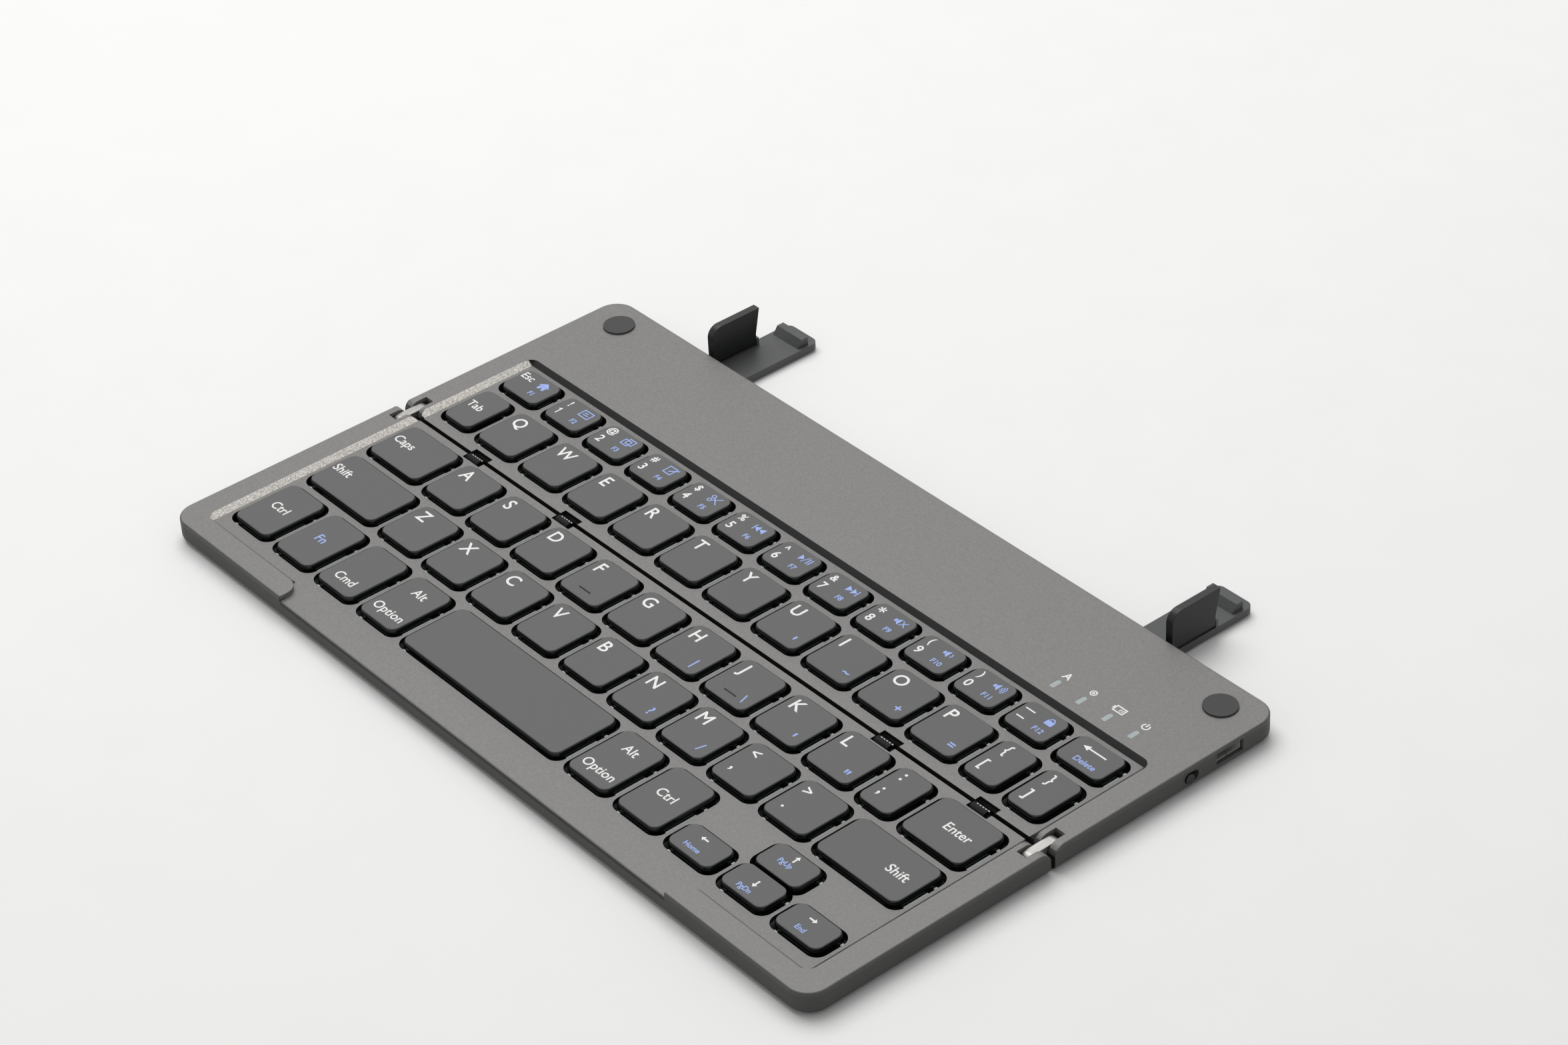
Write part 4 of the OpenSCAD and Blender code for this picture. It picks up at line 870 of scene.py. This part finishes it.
class KEYBOARD_OT_key_guides(bpy.types.Operator):
    """Make the small pale guides that show beside the caps in their wells; their long strips are painted
    highlights
    """

    bl_idname = "keyboard.key_guides"
    bl_label = "Key guides and painted highlights"

    def execute(self, context):
        settings = context.scene.keyboard_settings
        caps, guides = settings.caps, settings.guides
        # acetal, moulded and unpainted: pale, waxy; its long strips beside the caps are painted highlights
        acetal = finish("moulded_acetal_pale_and_painted_highlights", settings.colours.guides_and_painted_highlights, 0.06, (0.5, 0.5, 0.5), 0.4,
                        relief=0.004)
        rows = {"rear_half": row_outlines("number_row_keys", caps)
                + row_outlines("tab_row_keys", caps),
                "front_half": [key_outline(n, caps.flare) for n in front_keys()]}
        for body, keys in rows.items():
            bm = bmesh.new()
            for left, near, width, depth, top in keys:
                low, high = top - guides.foot, top - guides.top
                inner = left + width + caps.flare + guides.clearance
                outer = left + width + guides.side_reach
                # painted highlight: a long pale strip beside a large key, for light on its glossy skirt
                if width > 11 * MM and depth > 9 * MM:  # the small keys have no long side strip
                    block(bm, (inner, near + 0.14 * depth, low),
                          (outer, near + 0.62 * depth, high), guides.edge)
                block(bm, (inner, near + 0.74 * depth, low),
                      (outer, near + 0.74 * depth + guides.nub, high + 0.1 * MM), guides.edge)
                # painted highlight: a long pale strip along the key's front, for light on its glossy skirt
                block(bm, (left + 0.22 * width, near - 1.0 * MM, low - 0.3 * MM),
                      (left + 0.88 * width, near - 0.72 * MM, high - 0.3 * MM), 0.04 * MM)
                block(bm, (left + 1.5 * MM, near - guides.front_reach, low),
                      (left + 2.4 * MM, near - caps.flare - guides.clearance, high + 0.1 * MM),
                      guides.edge)
            make_piece(bm, "key_guides_and_painted_highlights_" + body.removesuffix("_half"), body,
                       [acetal])
        return {"FINISHED"}


class KEYBOARD_OT_fold_hinge(bpy.types.Operator):
    """Make the fold's steel links with rounded edges, dress its pins and ribbed barrels, and put painted
    highlights on the ribs
    """

    bl_idname = "keyboard.fold_hinge"
    bl_label = "Fold hinge"

    def execute(self, context):
        settings = context.scene.keyboard_settings
        colours, trim = settings.colours, settings.trim
        # stainless steel, brushed along the link: near white, with streaks 0.2 mm wide
        steel = finish("brushed_stainless_link", colours.links, 0.14, (0.2, 4.0, 0.2), 0.42,
                       metallic=0.85, relief=0.004)
        # acetal, moulded in black: slight gloss
        black = finish("moulded_acetal_black", linear("#0c0d0d"), 0.15, (0.5, 0.5, 0.5), 0.5,
                       relief=0.003, specular=0.1)
        softened("hinge_links", "links_rounded", steel, trim.link_edge)
        paint("rear_hinge_pins", steel)
        paint("front_hinge_pins", steel)
        paint("hinge_barrels", black)
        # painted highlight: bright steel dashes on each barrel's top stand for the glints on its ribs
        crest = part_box("hinge_barrels")[1].z
        bm = bmesh.new()
        for middle in HINGE_BARRELS:
            for step in range(5):
                left = middle - 2.05 * MM + trim.rib_pitch * step
                block(bm, (left, FOLD_Y - 0.1 * MM, crest - 0.3 * MM),
                      (left + trim.rib_width, FOLD_Y + 0.2 * MM, crest + 0.03 * MM), 0.05 * MM)
        make_piece(bm, "barrel_rib_painted_highlights", BODY_OF["hinge_barrels"], [steel])
        return {"FINISHED"}


class KEYBOARD_OT_stand(bpy.types.Operator):
    """Make the stand's arms and fins with rounded edges, and dress their pins"""

    bl_idname = "keyboard.stand"
    bl_label = "Stand"

    def execute(self, context):
        settings = context.scene.keyboard_settings
        colours, trim = settings.colours, settings.trim
        # die-cast zinc with a satin powder coat: dark, slightly pebbled at 0.35 mm.
        # The arms take a lighter copy of it as painted light, the fins a much darker copy as painted shade
        arm_coat_painted_light = finish("satin_powder_coat_arm_painted_light", colours.arms, 0.1, (0.35, 0.35, 0.35), 0.45,
                          relief=0.008, specular=0.3)
        fin_coat_painted_shade = finish("satin_powder_coat_fin_painted_shade", colours.fins, 0.1, (0.35, 0.35, 0.35), 0.4,
                          relief=0.008, specular=0.3)
        for side in ("left", "right"):
            softened("stand_arm_" + side, "arm_rounded_" + side, arm_coat_painted_light, trim.arm_edge)
            softened("stand_fin_" + side, "fin_rounded_" + side, fin_coat_painted_shade, trim.fin_edge)
        # turned steel pins, bright
        pins = finish("turned_steel_pin", linear("#b9bab8"), 0.06, (2.0, 0.2, 0.2), 0.3,
                      metallic=1.0)
        paint("stand_arm_pins", pins)
        return {"FINISHED"}


class KEYBOARD_OT_strip_signs(bpy.types.Operator):
    """Print the four indicator signs on the rear strip"""

    bl_idname = "keyboard.strip_signs"
    bl_label = "Indicator signs"

    def execute(self, context):
        settings = context.scene.keyboard_settings
        legends, trim = settings.legends, settings.trim
        # screen-printed ink on the lacquer: flat, white
        white = finish("screen_printed_white_ink", settings.colours.white_ink, 0.02,
                       (0.2, 0.2, 0.2), 0.55)
        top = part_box("rear_top_cover")[1].z
        share = capital_share(legends)
        bm = bmesh.new()
        sign_y = FOLD_Y + trim.sign_row
        field = (trim.first_sign - 2 * MM, sign_y - 1.2 * MM, 4 * MM, 2.4 * MM, top)
        print_words(bm, "A", 0, "centre", 0, 0.2, 2.0, field, legends, share)
        for index, sign in enumerate(("oval", "cell", "power"), 1):
            print_sign(bm, SIGNS[sign], 0, trim.first_sign + index * trim.sign_pitch, sign_y, top,
                       legends.ink)
        make_piece(bm, "indicator_signs", "rear_half", [white])
        return {"FINISHED"}


class KEYBOARD_OT_side_fittings(bpy.types.Operator):
    """Dress the charging socket and the power switch in the right wall"""

    bl_idname = "keyboard.side_fittings"
    bl_label = "Socket and switch"

    def execute(self, context):
        paint("usb_port", charging_socket_steel())
        # acetal knob, moulded and polished: black with a clear highlight
        knob = finish("polished_acetal_knob", linear("#0b0c0c"), 0.1, (0.5, 0.5, 0.5), 0.25,
                      specular=0.3)
        softened("power_switch_knob", "switch_knob_rounded", knob,
                 context.scene.keyboard_settings.trim.knob_edge)
        return {"FINISHED"}


class KEYBOARD_OT_inner_parts(bpy.types.Operator):
    """Dress the parts inside and underneath: sheets, board, battery, feet and screws"""

    bl_idname = "keyboard.inner_parts"
    bl_label = "Inner parts, feet and screws"

    def execute(self, context):
        # silicone dome sheet, moulded in dark grey
        sheet = finish("silicone_dome_sheet", linear("#1d1f1f"), 0.15, (0.8, 0.8, 0.8), 0.6)
        # glass-epoxy board under green solder mask
        board = finish("green_solder_mask", linear("#1f5a38"), 0.12, (1.5, 0.3, 1.0), 0.35)
        # aluminium foil pouch of a flat cell, lightly creased
        pouch = finish("foil_pouch", linear("#a9abb0"), 0.08, (3.0, 3.0, 3.0), 0.35,
                       metallic=0.9, relief=0.05)
        # rubber feet, moulded: matt, with a grain of 0.5 mm
        feet = finish("moulded_rubber_foot", linear("#2b2b2b"), 0.12, (0.5, 0.5, 0.5), 0.75,
                      relief=0.01)
        # steel screws, zinc plated and blackened: fine turned rings
        screws = finish("blackened_steel_screw", linear("#8b8c8c"), 0.08, (0.2, 0.2, 0.2), 0.35,
                        metallic=1.0)
        for node, material in (("rear_dome_sheet", sheet), ("front_dome_sheet", sheet),
                               ("circuit_board", board), ("battery", pouch),
                               ("rear_feet", feet), ("front_feet", feet),
                               ("rear_screws", screws)):
            paint(node, material)
        return {"FINISHED"}


class KEYBOARD_OT_stage(bpy.types.Operator):
    """Set up the floor, the soft light and the camera"""

    bl_idname = "keyboard.stage"
    bl_label = "Stage"

    def execute(self, context):
        stage = context.scene.keyboard_settings.stage
        scene = context.scene
        # painted board: flat and pale, with a faint mottle 20 mm wide
        board = finish("painted_board_floor", stage.floor, 0.01, (20, 20, 20), 0.8)
        bm = bmesh.new()
        bmesh.ops.create_grid(bm, x_segments=1, y_segments=1, size=3.0)
        mesh = bpy.data.meshes.new("floor")
        bm.to_mesh(mesh)
        bm.free()
        mesh.materials.append(board)
        floor = bpy.data.objects.new("floor", mesh)
        scene.collection.objects.link(floor)

        world = bpy.data.worlds.new("soft_room")
        world.use_nodes = True
        tree = world.node_tree
        tree.nodes.clear()
        rays = add(tree, "ShaderNodeLightPath")
        seen = add(tree, "ShaderNodeMath", {0: rays.outputs["Is Camera Ray"],
                   1: rays.outputs["Is Glossy Ray"]}, operation="ADD")
        seen = add(tree, "ShaderNodeMath", {0: seen.outputs[0],
                   1: rays.outputs["Is Transmission Ray"]}, operation="ADD", use_clamp=True)
        room = add(tree, "ShaderNodeBackground", {"Color": (1, 1, 1, 1), "Strength": stage.sky})
        white = add(tree, "ShaderNodeBackground", {"Color": (1, 1, 1, 1), "Strength": 1.0})
        mixed = add(tree, "ShaderNodeMixShader", {0: seen.outputs[0], 1: room.outputs[0],
                    2: white.outputs[0]})
        add(tree, "ShaderNodeOutputWorld", {"Surface": mixed.outputs[0]})
        scene.world = world

        lamp = bpy.data.lights.new("soft_lamp", "AREA")
        lamp.shape = "SQUARE"
        lamp.size = stage.lamp_size
        lamp.energy = stage.lamp
        above = bpy.data.objects.new("soft_lamp", lamp)
        above.location = (-0.55, 0.2, 1.25)
        above.rotation_euler = (Vector((0, 0, 0)) - above.location).to_track_quat(
            "-Z", "Y").to_euler()
        scene.collection.objects.link(above)

        lens = bpy.data.cameras.new("camera")
        lens.sensor_width = 36
        lens.lens = stage.focal
        lens.clip_start = 0.01
        camera = bpy.data.objects.new("camera", lens)
        camera.location = stage.camera_place
        camera.rotation_euler = stage.camera_turn
        scene.collection.objects.link(camera)
        scene.camera = camera
        scene.view_settings.view_transform = "Standard"
        return {"FINISHED"}


class KEYBOARD_PT_panel(bpy.types.Panel):
    """Lists the steps that dress the keyboard"""

    bl_idname = "KEYBOARD_PT_panel"
    bl_label = "Folding Keyboard"
    bl_space_type = "VIEW_3D"
    bl_region_type = "UI"
    bl_category = "Keyboard"

    def draw(self, context):
        for step in STEPS:
            self.layout.operator(step.bl_idname)


STEPS = [
    KEYBOARD_OT_covers,
    KEYBOARD_OT_front_keycaps,
    KEYBOARD_OT_rear_keycaps,
    KEYBOARD_OT_key_guides,
    KEYBOARD_OT_fold_hinge,
    KEYBOARD_OT_stand,
    KEYBOARD_OT_strip_signs,
    KEYBOARD_OT_side_fittings,
    KEYBOARD_OT_inner_parts,
    KEYBOARD_OT_stage,
]
CLASSES = [FinishColours, KeycapSizes, GuideSizes, TrimSizes, PrintSizes, StageSettings,
           KeyboardSettings, *STEPS, KEYBOARD_PT_panel]


def register():
    for made in CLASSES:
        bpy.utils.register_class(made)
    bpy.types.Scene.keyboard_settings = PointerProperty(type=KeyboardSettings)


def unregister():
    del bpy.types.Scene.keyboard_settings
    for made in reversed(CLASSES):
        bpy.utils.unregister_class(made)


def main():
    """Registers the add-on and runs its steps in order."""
    register()
    for step in STEPS:
        group, name = step.bl_idname.split(".")
        getattr(getattr(bpy.ops, group), name)()
    bpy.context.view_layer.update()


if __name__ == "__main__":
    main()
